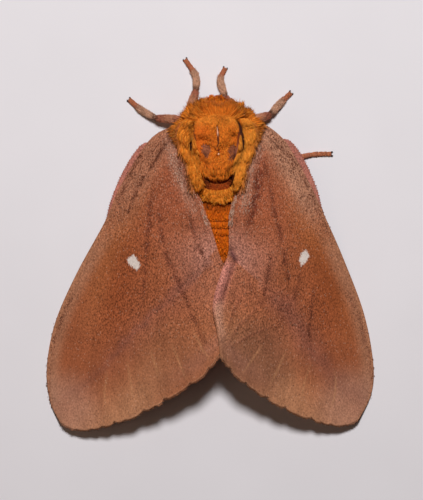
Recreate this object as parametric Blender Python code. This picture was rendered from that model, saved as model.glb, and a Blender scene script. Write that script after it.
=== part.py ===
"""Oslar's oakworm moth: a female at rest, life size, with her wings folded like a low roof.

The moth stands on the floor z = 0 and looks along +Y, with her right side at +X. Shapes are worked out in
body millimetres: x from the midline, y from the middle of the thorax, z from the floor. Every node hangs
from one empty, which scales millimetres to metres and puts the middle of the moth's outline over the origin.
A side is -1 for left and +1 for right, and a distance called out is measured outwards from the midline.
"""

import math
import random

import bmesh
import bpy
import numpy as np
from mathutils import Matrix, Vector

# Driving sizes, in millimetres
MM = 0.001
GAP = 0.3
BODY_TO_FRAME = (0.65, 9.8, 0.0)
WING_HALF = 0.27
FOREWING_VEIN = 0.13
HINDWING_VEIN = 0.09
HINDWING_DROP = 1.05
LEG_SIDES = 8
SEED = 7

# The thorax and the abdomen: distance along y, centre height, half width, half height
THORAX_SECTIONS = (
    (3.3, 5.5, 0.5, 0.6),
    (3.05, 5.5, 1.3, 1.35),
    (2.4, 5.45, 2.1, 2.1),
    (1.3, 5.05, 2.65, 3.0),
    (-0.6, 4.95, 2.9, 3.2),
    (-2.0, 4.9, 2.75, 3.2),
    (-3.2, 4.8, 2.35, 3.0),
    (-4.2, 4.65, 2.1, 2.6),
    (-4.9, 4.5, 1.75, 2.0),
    (-5.2, 4.4, 0.7, 1.0),
)
ABDOMEN_SECTIONS = (
    (-4.3, 4.2, 1.3, 1.5),
    (-5.3, 4.15, 2.1, 2.4),
    (-6.4, 3.9, 2.55, 2.8),
    (-8.0, 3.45, 2.85, 3.1),
    (-10.2, 3.05, 2.9, 3.25),
    (-12.6, 2.65, 2.65, 2.95),
    (-15.0, 2.2, 2.1, 2.4),
    (-17.0, 1.75, 1.3, 1.6),
    (-18.2, 1.55, 0.55, 0.7),
)
ABDOMEN_JOINTS = (-7.3, -8.9, -10.5, -12.1, -13.7, -15.2, -16.6)
ABDOMEN_STEP = 0.12
BODY_SIDES = 20
HEAD_CENTRE = (-0.1, 2.93, 3.05)
HEAD_RADII = (1.45, 1.08, 1.5)
EYE_RADIUS = 0.72
EYE_OUT = 1.1
EYE_AHEAD = 0.27
EYE_RISE = 0.0
# Labial palps as points (out, y, z, radius)
PALP = ((0.35, 3.1, 2.45, 0.28), (0.42, 3.85, 2.25, 0.29), (0.4, 4.35, 2.5, 0.18))

# Locks of the long coat: how long, how wide, how thick, and how high the tip stands off the core
LOCK_LENGTH = 2.0
LOCK_WIDTH = 0.5
LOCK_DEPTH = 0.15
LOCK_RISE = 0.5
# Rings of a lock below its tip: share of its length, share of its rise, share of its width
LOCK_RINGS = ((-0.15, -0.7, 0.85), (0.22, 0.4, 1.0), (0.64, 0.95, 0.62))
LOCK_TIP_RISE = 0.9
# Bands of locks round the thorax: y, first and last angle, how many, length and rise against the usual ones,
# and how far the locks fan out and point back. The angle is 0 at the right side and 90 degrees on top.
THORAX_BANDS = (
    (3.28, 0, 360, 6, 0.6, 0.7, 1.0, -0.2),
    (3.05, -50, 230, 8, 0.55, 1.2, 0.9, -1.0),
    (2.6, -20, 200, 8, 0.6, 1.3, 1.0, 0.2),
    (1.9, 15, 165, 6, 0.85, 1.1, 0.6, 1.0),
    (0.7, 50, 130, 4, 1.1, 0.9, 0.2, 1.0),
    (-0.6, 50, 130, 4, 1.1, 0.9, 0.2, 1.0),
    (-1.8, 48, 132, 5, 0.9, 0.9, 0.2, 1.0),
    (-2.9, 42, 138, 5, 0.65, 1.0, 0.1, 1.0),
    (-4.1, 22, 158, 7, 1.05, 1.3, 0.25, 1.0),
    (1.5, 215, 325, 4, 0.8, 1.0, 0.3, 1.0),
    (0.0, 200, 340, 5, 0.9, 1.0, 0.3, 1.0),
    (-1.6, 200, 340, 5, 0.9, 1.0, 0.3, 1.0),
    (-3.2, 205, 335, 4, 0.9, 1.0, 0.3, 1.0),
)

# The roof that the folded wings make: along y, the height of the ridge, the height of the leading edge,
# and how far out the leading edge lies
ROOF = (
    (1.6, 6.3, 5.3, 3.9),
    (0.0, 6.9, 4.3, 6.4),
    (-1.4, 7.1, 3.5, 7.5),
    (-3.2, 7.2, 2.8, 8.5),
    (-4.8, 7.2, 2.3, 9.5),
    (-7.7, 7.15, 1.55, 10.8),
    (-10.2, 7.0, 1.1, 12.1),
    (-12.8, 6.8, 0.6, 13.5),
    (-15.0, 6.6, 0.25, 14.6),
    (-17.5, 6.4, 0.02, 15.6),
    (-20.5, 6.15, -0.12, 16.3),
    (-28.5, 5.3, -0.15, 17.0),
)
ROOF_ARCH = 0.34
ROOF_WIDTH = {-1: 1.0, 1: 0.91}

# Outlines of the wings as (out, y): leading edge, outer margin and inner margin of each forewing, then of
# each hindwing. Smooth curves run through the points.
FOREWING = {
    -1: {
        "lead": ((2.7, 1.5), (4.5, 1.25), (6.1, 0.4), (7.5, -1.35), (9.5, -4.8), (10.75, -7.7), (13.55, -12.8),
                 (15.6, -17.5), (16.4, -21.8), (16.1, -25.0), (15.1, -27.1)),
        "outer": ((15.1, -27.1), (13.9, -27.7), (12.2, -27.8), (8.8, -26.9), (5.6, -25.3), (3.0, -23.7),
                  (1.1, -22.3), (-0.15, -20.6)),
        "inner": ((2.5, -1.0), (2.65, -3.0), (1.75, -5.0), (1.2, -6.5), (0.55, -8.3), (-0.15, -10.6),
                  (-0.33, -12.5), (0.27, -14.6), (0.39, -15.8), (0.1, -18.3), (-0.15, -20.6)),
    },
    1: {
        "lead": ((2.7, 1.6), (4.4, 1.6), (6.2, 0.35), (7.5, -1.5), (9.1, -4.4), (10.5, -7.4), (12.3, -11.5),
                 (14.2, -16.6), (15.1, -21.4), (14.9, -24.4), (13.7, -26.8)),
        "outer": ((13.7, -26.8), (12.6, -27.3), (11.0, -27.35), (8.6, -26.65), (5.5, -25.2), (3.6, -23.9),
                  (1.8, -22.5), (0.45, -20.7)),
        "inner": ((2.5, -1.0), (2.75, -3.0), (1.75, -5.1), (1.3, -6.7), (1.15, -8.8), (1.2, -10.7),
                  (0.63, -12.5), (0.03, -14.6), (-0.09, -15.8), (0.2, -18.3), (0.45, -20.7)),
    },
}
HINDWING = {
    -1: {
        "lead": ((2.1, -1.9), (4.4, -1.0), (6.6, -0.15), (7.9, -1.15), (9.25, -3.45), (10.25, -6.0),
                 (11.0, -9.2), (12.1, -13.6), (12.6, -17.6), (12.2, -19.6)),
        "outer": ((12.2, -19.6), (11.0, -20.5), (8.4, -20.7), (5.6, -19.8), (3.3, -18.2)),
        "inner": ((2.0, -3.3), (2.75, -5.0), (3.1, -9.0), (3.1, -14.0), (3.3, -18.2)),
    },
    1: {
        "lead": ((2.1, -1.9), (4.4, -0.8), (6.5, 0.2), (7.9, -1.0), (9.1, -3.3), (9.9, -5.6), (10.4, -8.6),
                 (11.4, -13.2), (11.8, -17.4), (11.4, -19.4)),
        "outer": ((11.4, -19.4), (10.2, -20.2), (7.9, -20.4), (5.4, -19.6), (3.3, -18.2)),
        "inner": ((2.0, -3.3), (2.75, -5.0), (3.1, -9.0), (3.1, -14.0), (3.3, -18.2)),
    },
}
# Veins as (share of the way from the leading edge to the inner margin, where the vein starts, where it ends)
FOREWING_VEINS = (
    (0.045, 0.0, 0.8),
    (0.13, 0.0, 0.95),
    (0.24, 0.0, 1.0),
    (0.36, 0.46, 1.0),
    (0.48, 0.46, 1.0),
    (0.6, 0.46, 1.0),
    (0.71, 0.0, 1.0),
    (0.82, 0.3, 1.0),
    (0.94, 0.0, 1.0),
)
HINDWING_VEINS = (
    (0.1, 0.0, 0.9),
    (0.28, 0.0, 1.0),
    (0.44, 0.45, 1.0),
    (0.6, 0.45, 1.0),
    (0.74, 0.0, 1.0),
    (0.9, 0.0, 0.95),
)
VEIN_HALF = 0.014
# A wing without veins, to cut its neighbours with
GUIDE_VEINS = ((0.25, 0.0, 1.0), (0.5, 0.0, 1.0), (0.75, 0.0, 1.0))
GUIDE_ROWS = 12
FOREWING_ROWS = 15
HINDWING_ROWS = 10

# Legs: the joints at body, trochanter, knee and ankle, then the bend and the tip of the foot
LEGS = {
    "leg_front_left": ((-0.8, 1.4, 2.6), (-1.5, 1.9, 1.25), (-2.75, 2.75, 2.05), (-2.0, 4.85, 0.72),
                       (-2.05, 6.3, 0.3), (-3.0, 7.85, 0.22)),
    "leg_front_right": ((0.8, 1.4, 2.6), (1.4, 1.9, 1.25), (2.35, 2.65, 2.05), (0.85, 4.2, 0.8),
                        (0.35, 5.9, 0.3), (0.78, 7.0, 0.22)),
    "leg_mid_left": ((-1.5, 0.2, 2.4), (-2.2, 0.9, 1.2), (-3.2, 2.1, 2.2), (-5.8, 2.2, 0.95),
                     (-7.3, 3.05, 0.3), (-8.4, 4.0, 0.22)),
    "leg_mid_right": ((1.5, 0.2, 2.4), (2.2, 0.9, 1.2), (3.2, 2.0, 2.1), (5.05, 2.5, 0.95),
                      (6.2, 3.75, 0.3), (7.1, 4.65, 0.22)),
    "leg_hind_left": ((-1.4, -1.6, 2.2), (-2.2, -1.9, 1.1), (-4.1, -2.6, 1.8), (-6.0, -4.4, 0.7),
                      (-6.6, -5.9, 0.27), (-7.2, -7.5, 0.2)),
    "leg_hind_right": ((1.4, -1.6, 2.2), (2.3, -1.9, 1.1), (4.6, -2.3, 1.75), (7.5, -1.6, 0.6),
                       (9.3, -1.25, 0.25), (11.0, -1.2, 0.2)),
}
# Radii along each piece of a leg: upper leg, thigh, shin, foot
LEG_RADII = (
    (0.5, 0.42),
    (0.36, 0.46, 0.44, 0.33),
    (0.32, 0.38, 0.39, 0.36),
    (0.26, 0.31, 0.3, 0.3, 0.28, 0.25),
)
# A claw as points (ahead of the foot's tip, aside, down, radius)
CLAW = ((-0.15, 0.08, 0.0, 0.15), (0.15, 0.2, 0.0, 0.11), (0.28, 0.3, 0.1, 0.04))
# Antennae as points (out, y, z, radius), tucked back below the wing roots
ANTENNA = ((0.75, 2.95, 4.0, 0.25), (1.35, 3.25, 4.5, 0.25), (2.15, 2.75, 4.3, 0.25), (2.8, 1.9, 3.85, 0.25),
           (3.25, 0.9, 3.35, 0.25), (3.7, -0.5, 2.85, 0.24), (4.1, -2.1, 2.4, 0.22), (4.4, -3.7, 2.0, 0.15))
# Tegulae, the hairy shoulder flaps, as points (out, y, z, half width, half thickness)
TEGULA = ((2.2, 2.0, 6.1, 0.55, 0.3), (2.65, 1.1, 6.65, 0.95, 0.34), (2.75, -0.2, 6.9, 1.1, 0.36),
          (2.6, -1.6, 7.0, 1.0, 0.36), (2.3, -2.9, 7.05, 0.75, 0.32), (2.0, -3.9, 7.05, 0.35, 0.22))
# Locks of a tegula: shares of its length, and how far round from its outer edge to its top in degrees
TEGULA_ROWS = (0.1, 0.42, 0.75)
TEGULA_TURNS = (-5, 45, 95)
TEGULA_LOCK = 2.3
TEGULA_RISE = 0.42
# Locks of the head's tuft: angle round the head's top in degrees, height up the head, length
HEAD_LOCKS = (
    (0, 0.62, 1.2), (30, 0.62, 1.2), (60, 0.6, 1.25), (90, 0.6, 1.3), (120, 0.6, 1.25), (150, 0.62, 1.2),
    (180, 0.62, 1.2), (55, 0.2, 1.0), (90, 0.2, 1.05), (125, 0.2, 1.0), (72, -0.25, 0.8), (108, -0.25, 0.8),
)

COLOURS = {
    "wing": ((0.3, 0.1, 0.05), 0.8),
    "hindwing": ((0.36, 0.15, 0.1), 0.8),
    "coat": ((0.5, 0.13, 0.014), 0.9),
    "abdomen": ((0.38, 0.065, 0.006), 0.75),
    "leg": ((0.37, 0.19, 0.12), 0.75),
    "antenna": ((0.3, 0.12, 0.04), 0.7),
    "eye": ((0.02, 0.012, 0.008), 0.25),
}


def clear_scene():
    for obj in list(bpy.data.objects):
        bpy.data.objects.remove(obj)


def make_materials():
    materials = {}
    for name, (colour, roughness) in COLOURS.items():
        material = bpy.data.materials.new(name)
        material.use_nodes = True
        shader = material.node_tree.nodes["Principled BSDF"]
        shader.inputs["Base Color"].default_value = (*colour, 1.0)
        shader.inputs["Roughness"].default_value = roughness
        shader.inputs["Metallic"].default_value = 0.0
        materials[name] = material
    return materials


def smooth_path(points, count):
    """count points evenly spaced along a smooth curve through the given points."""
    knots = np.array(points, float)
    padded = np.vstack([2 * knots[0] - knots[1], knots, 2 * knots[-1] - knots[-2]])
    dense = []
    for i in range(1, len(padded) - 2):
        before, start, end, after = padded[i - 1 : i + 3]
        for t in np.linspace(0, 1, 16, endpoint=False):
            dense.append(
                0.5 * (2 * start + (end - before) * t + (2 * before - 5 * start + 4 * end - after) * t**2
                       + (3 * start - before - 3 * end + after) * t**3)
            )
    dense.append(knots[-1])
    dense = np.array(dense)
    steps = np.linalg.norm(np.diff(dense[:, : min(3, dense.shape[1])], axis=0), axis=1)
    along = np.concatenate([[0], np.cumsum(steps)])
    wanted = np.linspace(0, along[-1], count)
    return np.array([np.interp(wanted, along, dense[:, k]) for k in range(dense.shape[1])]).T


def table_at(table, y):
    """The row of a table at y, between its rows, whose first numbers fall."""
    rows = np.array(table, float)[::-1]
    return [float(np.interp(y, rows[:, 0], rows[:, k])) for k in range(1, rows.shape[1])]


def roof_height(side, out, y):
    """Height of the forewing's middle surface at a distance out from the midline."""
    ridge, edge, width = table_at(ROOF, y)
    share = min(1.0, 1 - max(out, 0.0) / (width * ROOF_WIDTH[side]))
    return edge + (ridge - edge) * share * (1 + ROOF_ARCH * (1 - share))


def new_object(name, verts, faces, material, parent):
    mesh = bpy.data.meshes.new(name)
    mesh.from_pydata([tuple(v) for v in verts], [], [tuple(f) for f in faces])
    bm = bmesh.new()
    bm.from_mesh(mesh)
    bmesh.ops.recalc_face_normals(bm, faces=bm.faces)
    if bm.calc_volume(signed=True) < 0:
        bmesh.ops.reverse_faces(bm, faces=bm.faces)
    bm.to_mesh(mesh)
    bm.free()
    mesh.materials.append(material)
    obj = bpy.data.objects.new(name, mesh)
    bpy.context.scene.collection.objects.link(obj)
    obj.parent = parent
    return obj


def apply_modifiers(obj):
    graph = bpy.context.evaluated_depsgraph_get()
    mesh = bpy.data.meshes.new_from_object(obj.evaluated_get(graph))
    obj.modifiers.clear()
    obj.data = mesh


def keep_largest(obj):
    """Leaves only the largest closed surface of the mesh, going from face to face over plain edges."""
    bm = bmesh.new()
    bm.from_mesh(obj.data)
    left = set(bm.faces)
    islands = []
    while left:
        island = []
        waiting = [left.pop()]
        while waiting:
            face = waiting.pop()
            island.append(face)
            for edge in face.edges:
                if len(edge.link_faces) != 2:
                    continue
                for other in edge.link_faces:
                    if other in left:
                        left.remove(other)
                        waiting.append(other)
        islands.append(island)
    islands.sort(key=len, reverse=True)
    for island in islands[1:]:
        bmesh.ops.delete(bm, geom=island, context="FACES")
    bm.to_mesh(obj.data)
    bm.free()


def fuse(obj, pieces):
    """Joins closed pieces to a node by one Boolean union, and removes them."""
    group = bpy.data.collections.new(obj.name + "_pieces")
    bpy.context.scene.collection.children.link(group)
    for piece in pieces:
        bpy.context.scene.collection.objects.unlink(piece)
        group.objects.link(piece)
    union = obj.modifiers.new("union", "BOOLEAN")
    union.operation = "UNION"
    union.operand_type = "COLLECTION"
    union.collection = group
    union.solver = "MANIFOLD"
    apply_modifiers(obj)
    for piece in pieces:
        bpy.data.objects.remove(piece)
    bpy.data.collections.remove(group)
    keep_largest(obj)


def cut(obj, cutters):
    """Takes closed cutters away from a node. The cutters stay as they are."""
    for cutter in cutters:
        difference = obj.modifiers.new("cut", "BOOLEAN")
        difference.operation = "DIFFERENCE"
        difference.object = cutter
        difference.solver = "MANIFOLD"
    apply_modifiers(obj)
    keep_largest(obj)


def boxes_meet(a, b):
    corners_a = np.array([corner[:] for corner in a.bound_box])
    corners_b = np.array([corner[:] for corner in b.bound_box])
    return (corners_a.min(0) < corners_b.max(0)).all() and (corners_b.min(0) < corners_a.max(0)).all()


def trimmed(pieces, cutters):
    """The pieces, each cut clear of the cutters that it meets. A piece that is cut away whole is left out."""
    kept = []
    for piece in pieces:
        near = [cutter for cutter in cutters if boxes_meet(piece, cutter)]
        if near:
            cut(piece, near)
        if len(piece.data.polygons):
            kept.append(piece)
        else:
            bpy.data.objects.remove(piece)
    return kept


def swollen(obj, by):
    """A copy of a node whose surface stands off by a distance, to cut its neighbours with."""
    bm = bmesh.new()
    bm.from_mesh(obj.data)
    bm.normal_update()
    moves = []
    for vert in bm.verts:
        normal = vert.normal
        spread = min((normal.dot(face.normal) for face in vert.link_faces), default=1.0)
        moves.append(vert.co + normal * by / max(spread, 0.45))
    for vert, place in zip(bm.verts, moves):
        vert.co = place
    mesh = bpy.data.meshes.new("cutter")
    bm.to_mesh(mesh)
    bm.free()
    cutter = bpy.data.objects.new("cutter", mesh)
    cutter.hide_render = True
    cutter.display_type = "WIRE"
    bpy.context.scene.collection.objects.link(cutter)
    cutter.parent = obj.parent
    return cutter


def loft(name, rings, material, parent):
    """A closed body through rings of points, with a fan at each end."""
    sides = len(rings[0])
    verts = [point for ring in rings for point in ring]
    faces = []
    for r in range(len(rings) - 1):
        for k in range(sides):
            here, following = r * sides + k, r * sides + (k + 1) % sides
            faces.append((here, following, following + sides, here + sides))
    for ring, start in ((rings[0], 0), (rings[-1], (len(rings) - 1) * sides)):
        centre = len(verts)
        verts.append(tuple(np.mean(np.array(ring), axis=0)))
        faces += [(start + k, start + (k + 1) % sides, centre) for k in range(sides)]
    return new_object(name, verts, faces, material, parent)


def body_ring(sections, y, sides, pinch=0.0):
    """An ellipse across the body at y, as points; pinch makes it smaller all round."""
    height, half_width, half_height = table_at(sections, y)
    ring = []
    for k in range(sides):
        angle = 2 * math.pi * k / sides
        x = (half_width - pinch) * math.cos(angle)
        ring.append((x, y, height + (half_height - pinch) * math.sin(angle)))
    return ring


def body_point(sections, y, angle):
    """A point on the body's surface, and its outward normal."""
    def place(along, turn):
        height, half_width, half_height = table_at(sections, along)
        return Vector((half_width * math.cos(turn), along, height + half_height * math.sin(turn)))
    point = place(y, angle)
    forward = place(y + 0.1, angle) - place(y - 0.1, angle)
    around = place(y, angle + 0.05) - place(y, angle - 0.05)
    return point, forward.cross(around).normalized()


def tube(name, points, sides, material, parent, floor=None):
    """A round bar along points (x, y, z, radius). What would pass below the floor is laid flat on it."""
    path = np.array(points, float)
    rings = []
    across = None
    for i, (x, y, z, radius) in enumerate(path):
        ahead = path[min(i + 1, len(path) - 1)][:3] - path[max(i - 1, 0)][:3]
        ahead = Vector(ahead).normalized()
        if across is None:
            across = ahead.cross(Vector((0, 0, 1))).normalized()
        across = (across - ahead * across.dot(ahead)).normalized()
        up = ahead.cross(across)
        ring = []
        for k in range(sides):
            angle = 2 * math.pi * (k + 0.5) / sides
            point = Vector((x, y, z)) + (across * math.cos(angle) + up * math.sin(angle)) * radius
            if floor is not None:
                point.z = max(point.z, floor)
            ring.append(tuple(point))
        rings.append(ring)
    return loft(name, rings, material, parent)


def lock(root, normal, lie, length, rise, size, material, parent):
    """A flat, tapered lock of hair: it leaves the surface at root and bends over along lie."""
    lie = (lie - normal * lie.dot(normal)).normalized()
    across = normal.cross(lie).normalized()
    rings = []
    for along, height, share in LOCK_RINGS:
        centre = root + lie * along * length + normal * height * rise
        wide, deep = across * LOCK_WIDTH * size * share, normal * LOCK_DEPTH * size * share
        rings.append([tuple(centre + wide), tuple(centre + deep), tuple(centre - wide), tuple(centre - deep)])
    tip = tuple(root + lie * length + normal * rise * LOCK_TIP_RISE)
    verts = [point for ring in rings for point in ring] + [tip]
    faces = [(3, 2, 1, 0)]
    for r in range(len(rings) - 1):
        for k in range(4):
            following = (k + 1) % 4
            faces.append((4 * r + k, 4 * r + following, 4 * r + 4 + following, 4 * r + 4 + k))
    last = 4 * (len(rings) - 1)
    faces += [(last + k, last + (k + 1) % 4, len(verts) - 1) for k in range(4)]
    return new_object("lock", verts, faces, material, parent)


def wing_outline_point(outline, t, w):
    """A point of the wing in plan: t runs from root to outer margin, w from leading edge to inner margin."""
    lead, inner, outer = outline["lead"], outline["inner"], outline["outer"]
    def on(curve, share):
        at = share * (len(curve) - 1)
        low = min(int(at), len(curve) - 2)
        return curve[low] + (curve[low + 1] - curve[low]) * (at - low)
    root = lead[0] + (inner[0] - lead[0]) * w
    ends = (1 - t) * ((1 - w) * lead[0] + w * inner[0]) + t * ((1 - w) * lead[-1] + w * inner[-1])
    return (1 - w) * on(lead, t) + w * on(inner, t) + (1 - t) * root + t * on(outer, w) - ends


def make_wing(name, side, outline, veins, rows, vein_height, drop, material, parent):
    """A wing as a thin closed sheet on the roof, lowered by drop, with veins raised in both faces."""
    curves = {key: smooth_path(points, 60) for key, points in outline.items()}
    columns = [(0.0, 0.0, 1.0, 1.0)]
    for w, start, end in veins:
        columns += [(w - VEIN_HALF, start, end, 0.0), (w, start, end, 1.0), (w + VEIN_HALF, start, end, 0.0)]
    columns.append((1.0, 0.0, 1.0, 0.3))
    top, bottom = [], []
    for r in range(rows):
        t = r / (rows - 1)
        for w, start, end, raised in columns:
            out, y = wing_outline_point(curves, t, w)
            height = roof_height(side, out, y) - drop
            ridge = vein_height * raised if start <= t <= end else 0.0
            top.append((side * out, y, max(height + WING_HALF + ridge, 1.8 * WING_HALF)))
            bottom.append((side * out, y, max(height - WING_HALF - 0.5 * ridge, 0.0)))
    count, total = len(columns), len(top)
    faces = []
    for r in range(rows - 1):
        for k in range(count - 1):
            a, b = r * count + k, r * count + k + 1
            c, d = b + count, a + count
            faces += [(a, b, c), (a, c, d)]
            faces += [(total + a, total + c, total + b), (total + a, total + d, total + c)]
    rim = [k for k in range(count)] + [r * count + count - 1 for r in range(1, rows)]
    rim += [(rows - 1) * count + k for k in range(count - 2, -1, -1)]
    rim += [r * count for r in range(rows - 2, 0, -1)]
    for here, following in zip(rim, rim[1:] + rim[:1]):
        faces += [(here, following, total + following), (here, total + following, total + here)]
    return new_object(name, top + bottom, faces, material, parent)


def make_thorax(materials, parent):
    ys = np.concatenate([[3.3, 3.05, 2.75], np.linspace(2.3, -4.6, 12), [-4.9, -5.2]])
    rings = [body_ring(THORAX_SECTIONS, y, BODY_SIDES) for y in ys]
    return loft("thorax", rings, materials["coat"], parent)


def thorax_locks(materials, parent):
    """Locks in bands round the thorax, that point back and lie over the next band."""
    locks = []
    for band, (y, first, last, count, length, rise, fan, back) in enumerate(THORAX_BANDS):
        for k in range(count):
            share = (k + 0.25 + 0.5 * (band % 2)) / count
            angle = math.radians(first + (last - first) * share + random.uniform(-4, 4))
            root, normal = body_point(THORAX_SECTIONS, y + random.uniform(-0.12, 0.12), angle)
            lie = Vector((fan * math.cos(angle) + random.uniform(-0.12, 0.12), -back, fan * math.sin(angle)))
            long = LOCK_LENGTH * length * random.uniform(0.9, 1.1)
            locks.append(lock(root, normal, lie, long, LOCK_RISE * rise, 1.0, materials["coat"], parent))
    return locks


def make_abdomen(materials, parent):
    """The abdomen, whose rings overlap like a telescope, and whose heavy end lies on the floor."""
    ys = [-4.3, -4.8, -5.4, -6.2]
    pinched = [joint - ABDOMEN_STEP for joint in ABDOMEN_JOINTS]
    for joint, low in zip(ABDOMEN_JOINTS, pinched):
        ys += [joint + ABDOMEN_STEP, low, joint - 0.8]
    ys += [-17.8, -18.2]
    rings = []
    for y in ys:
        ring = body_ring(ABDOMEN_SECTIONS, y, BODY_SIDES, ABDOMEN_STEP if y in pinched else 0.0)
        rings.append([(x, along, max(z, 0.0)) for x, along, z in ring])
    return loft("abdomen", rings, materials["abdomen"], parent)


def head_point(angle, height):
    """A point of the head at an angle round its upright axis and a height of -1 to 1, and its normal."""
    centre, radii = Vector(HEAD_CENTRE), HEAD_RADII
    level = math.sqrt(1 - height * height)
    across, ahead = level * math.cos(angle), level * math.sin(angle)
    point = centre + Vector((radii[0] * across, radii[1] * ahead, radii[2] * height))
    return point, Vector((across / radii[0], ahead / radii[1], height / radii[2])).normalized()


def make_head(materials, parent):
    rings = []
    for height in np.cos(np.linspace(0.15, math.pi - 0.15, 9)):
        rings.append([tuple(head_point(2 * math.pi * k / 18, height)[0]) for k in range(18)])
    return loft("head", rings, materials["coat"], parent)


def head_pieces(materials, parent):
    """The palps, and the locks of the tuft between the eyes."""
    pieces = []
    for side in (-1, 1):
        path = [(side * out + HEAD_CENTRE[0], y, z, radius) for out, y, z, radius in smooth_path(PALP, 5)]
        pieces.append(tube("palp", path, 7, materials["coat"], parent))
    for degrees, height, length in HEAD_LOCKS:
        root, normal = head_point(math.radians(degrees), height)
        lie = Vector((0.9 * math.cos(math.radians(degrees)), 0.8, -0.7))
        pieces.append(lock(root, normal, lie, length, 0.3, 0.85, materials["coat"], parent))
    return pieces


def make_eye(side, materials, parent):
    centre = Vector(HEAD_CENTRE) + Vector((side * EYE_OUT, EYE_AHEAD, EYE_RISE))
    bm = bmesh.new()
    bmesh.ops.create_icosphere(bm, subdivisions=2, radius=EYE_RADIUS, matrix=Matrix.Translation(centre))
    verts = [vert.co.copy() for vert in bm.verts]
    faces = [[vert.index for vert in face.verts] for face in bm.faces]
    bm.free()
    name = "eye_left" if side < 0 else "eye_right"
    return new_object(name, verts, faces, materials["eye"], parent)


def make_leg(name, materials, parent):
    """Four bars, one after another, with a pair of claws, all in one body."""
    body, trochanter, knee, ankle, bend, tip = (Vector(point) for point in LEGS[name])
    routes = ((body, trochanter), (trochanter, knee), (knee, ankle), (ankle, bend, tip))
    bars = []
    for route, radii in zip(routes, LEG_RADII):
        path = smooth_path([tuple(point) for point in route], len(radii))
        points = [(*place, radius) for place, radius in zip(path, radii)]
        bars.append(tube(name, points, LEG_SIDES, materials["leg"], parent, floor=0.0))
    ahead = (tip - bend).normalized()
    across = ahead.cross(Vector((0, 0, 1))).normalized()
    for turn in (-1, 1):
        points = []
        for along, aside, down, radius in CLAW:
            points.append((*(tip + ahead * along + across * turn * aside - Vector((0, 0, down))), radius))
        bars.append(tube("claw", points, 5, materials["leg"], parent, floor=0.0))
    leg = bars[0]
    fuse(leg, bars[1:])
    return leg


def make_antenna(side, materials, parent):
    path = smooth_path(ANTENNA, 16)
    points = [(side * out, y, z, radius) for out, y, z, radius in path]
    return tube("antenna_left" if side < 0 else "antenna_right", points, 7, materials["antenna"], parent)


def tegula_frames():
    """Along the right tegula: the middle of each ring, its two half axes, and the way it runs."""
    path = smooth_path(TEGULA, 10)
    frames = []
    for i, (out, y, z, half_width, half_depth) in enumerate(path):
        ahead = Vector(path[min(i + 1, len(path) - 1)][:3] - path[max(i - 1, 0)][:3]).normalized()
        outward = Vector((0.8, 0.0, -0.6))
        outward = (outward - ahead * outward.dot(ahead)).normalized()
        up = ahead.cross(outward)
        frames.append((Vector((out, y, z)), outward * half_width, up * half_depth, ahead))
    return frames


def make_tegula(side, materials, parent):
    rings = []
    for centre, outward, up, ahead in tegula_frames():
        ring = []
        for k in range(9):
            angle = 2 * math.pi * k / 9
            point = centre + outward * math.cos(angle) + up * math.sin(angle)
            ring.append((side * point.x, point.y, point.z))
        rings.append(ring)
    return loft("tegula_left" if side < 0 else "tegula_right", rings, materials["coat"], parent)


def tegula_locks(side, materials, parent):
    frames = tegula_frames()
    locks = []
    for row in TEGULA_ROWS:
        centre, outward, up, ahead = frames[round(row * (len(frames) - 1))]
        for turn in TEGULA_TURNS:
            angle = math.radians(turn + random.uniform(-8, 8))
            root = centre + outward * math.cos(angle) + up * math.sin(angle)
            normal = outward.normalized() * math.cos(angle) + up.normalized() * math.sin(angle)
            lie = ahead + Vector((0.35, 0, 0)) * math.cos(angle)
            for vector in (root, normal, lie):
                vector.x *= side
            long = TEGULA_LOCK * random.uniform(0.9, 1.1)
            locks.append(lock(root, normal, lie, long, TEGULA_RISE, 0.95, materials["coat"], parent))
    return locks


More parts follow.
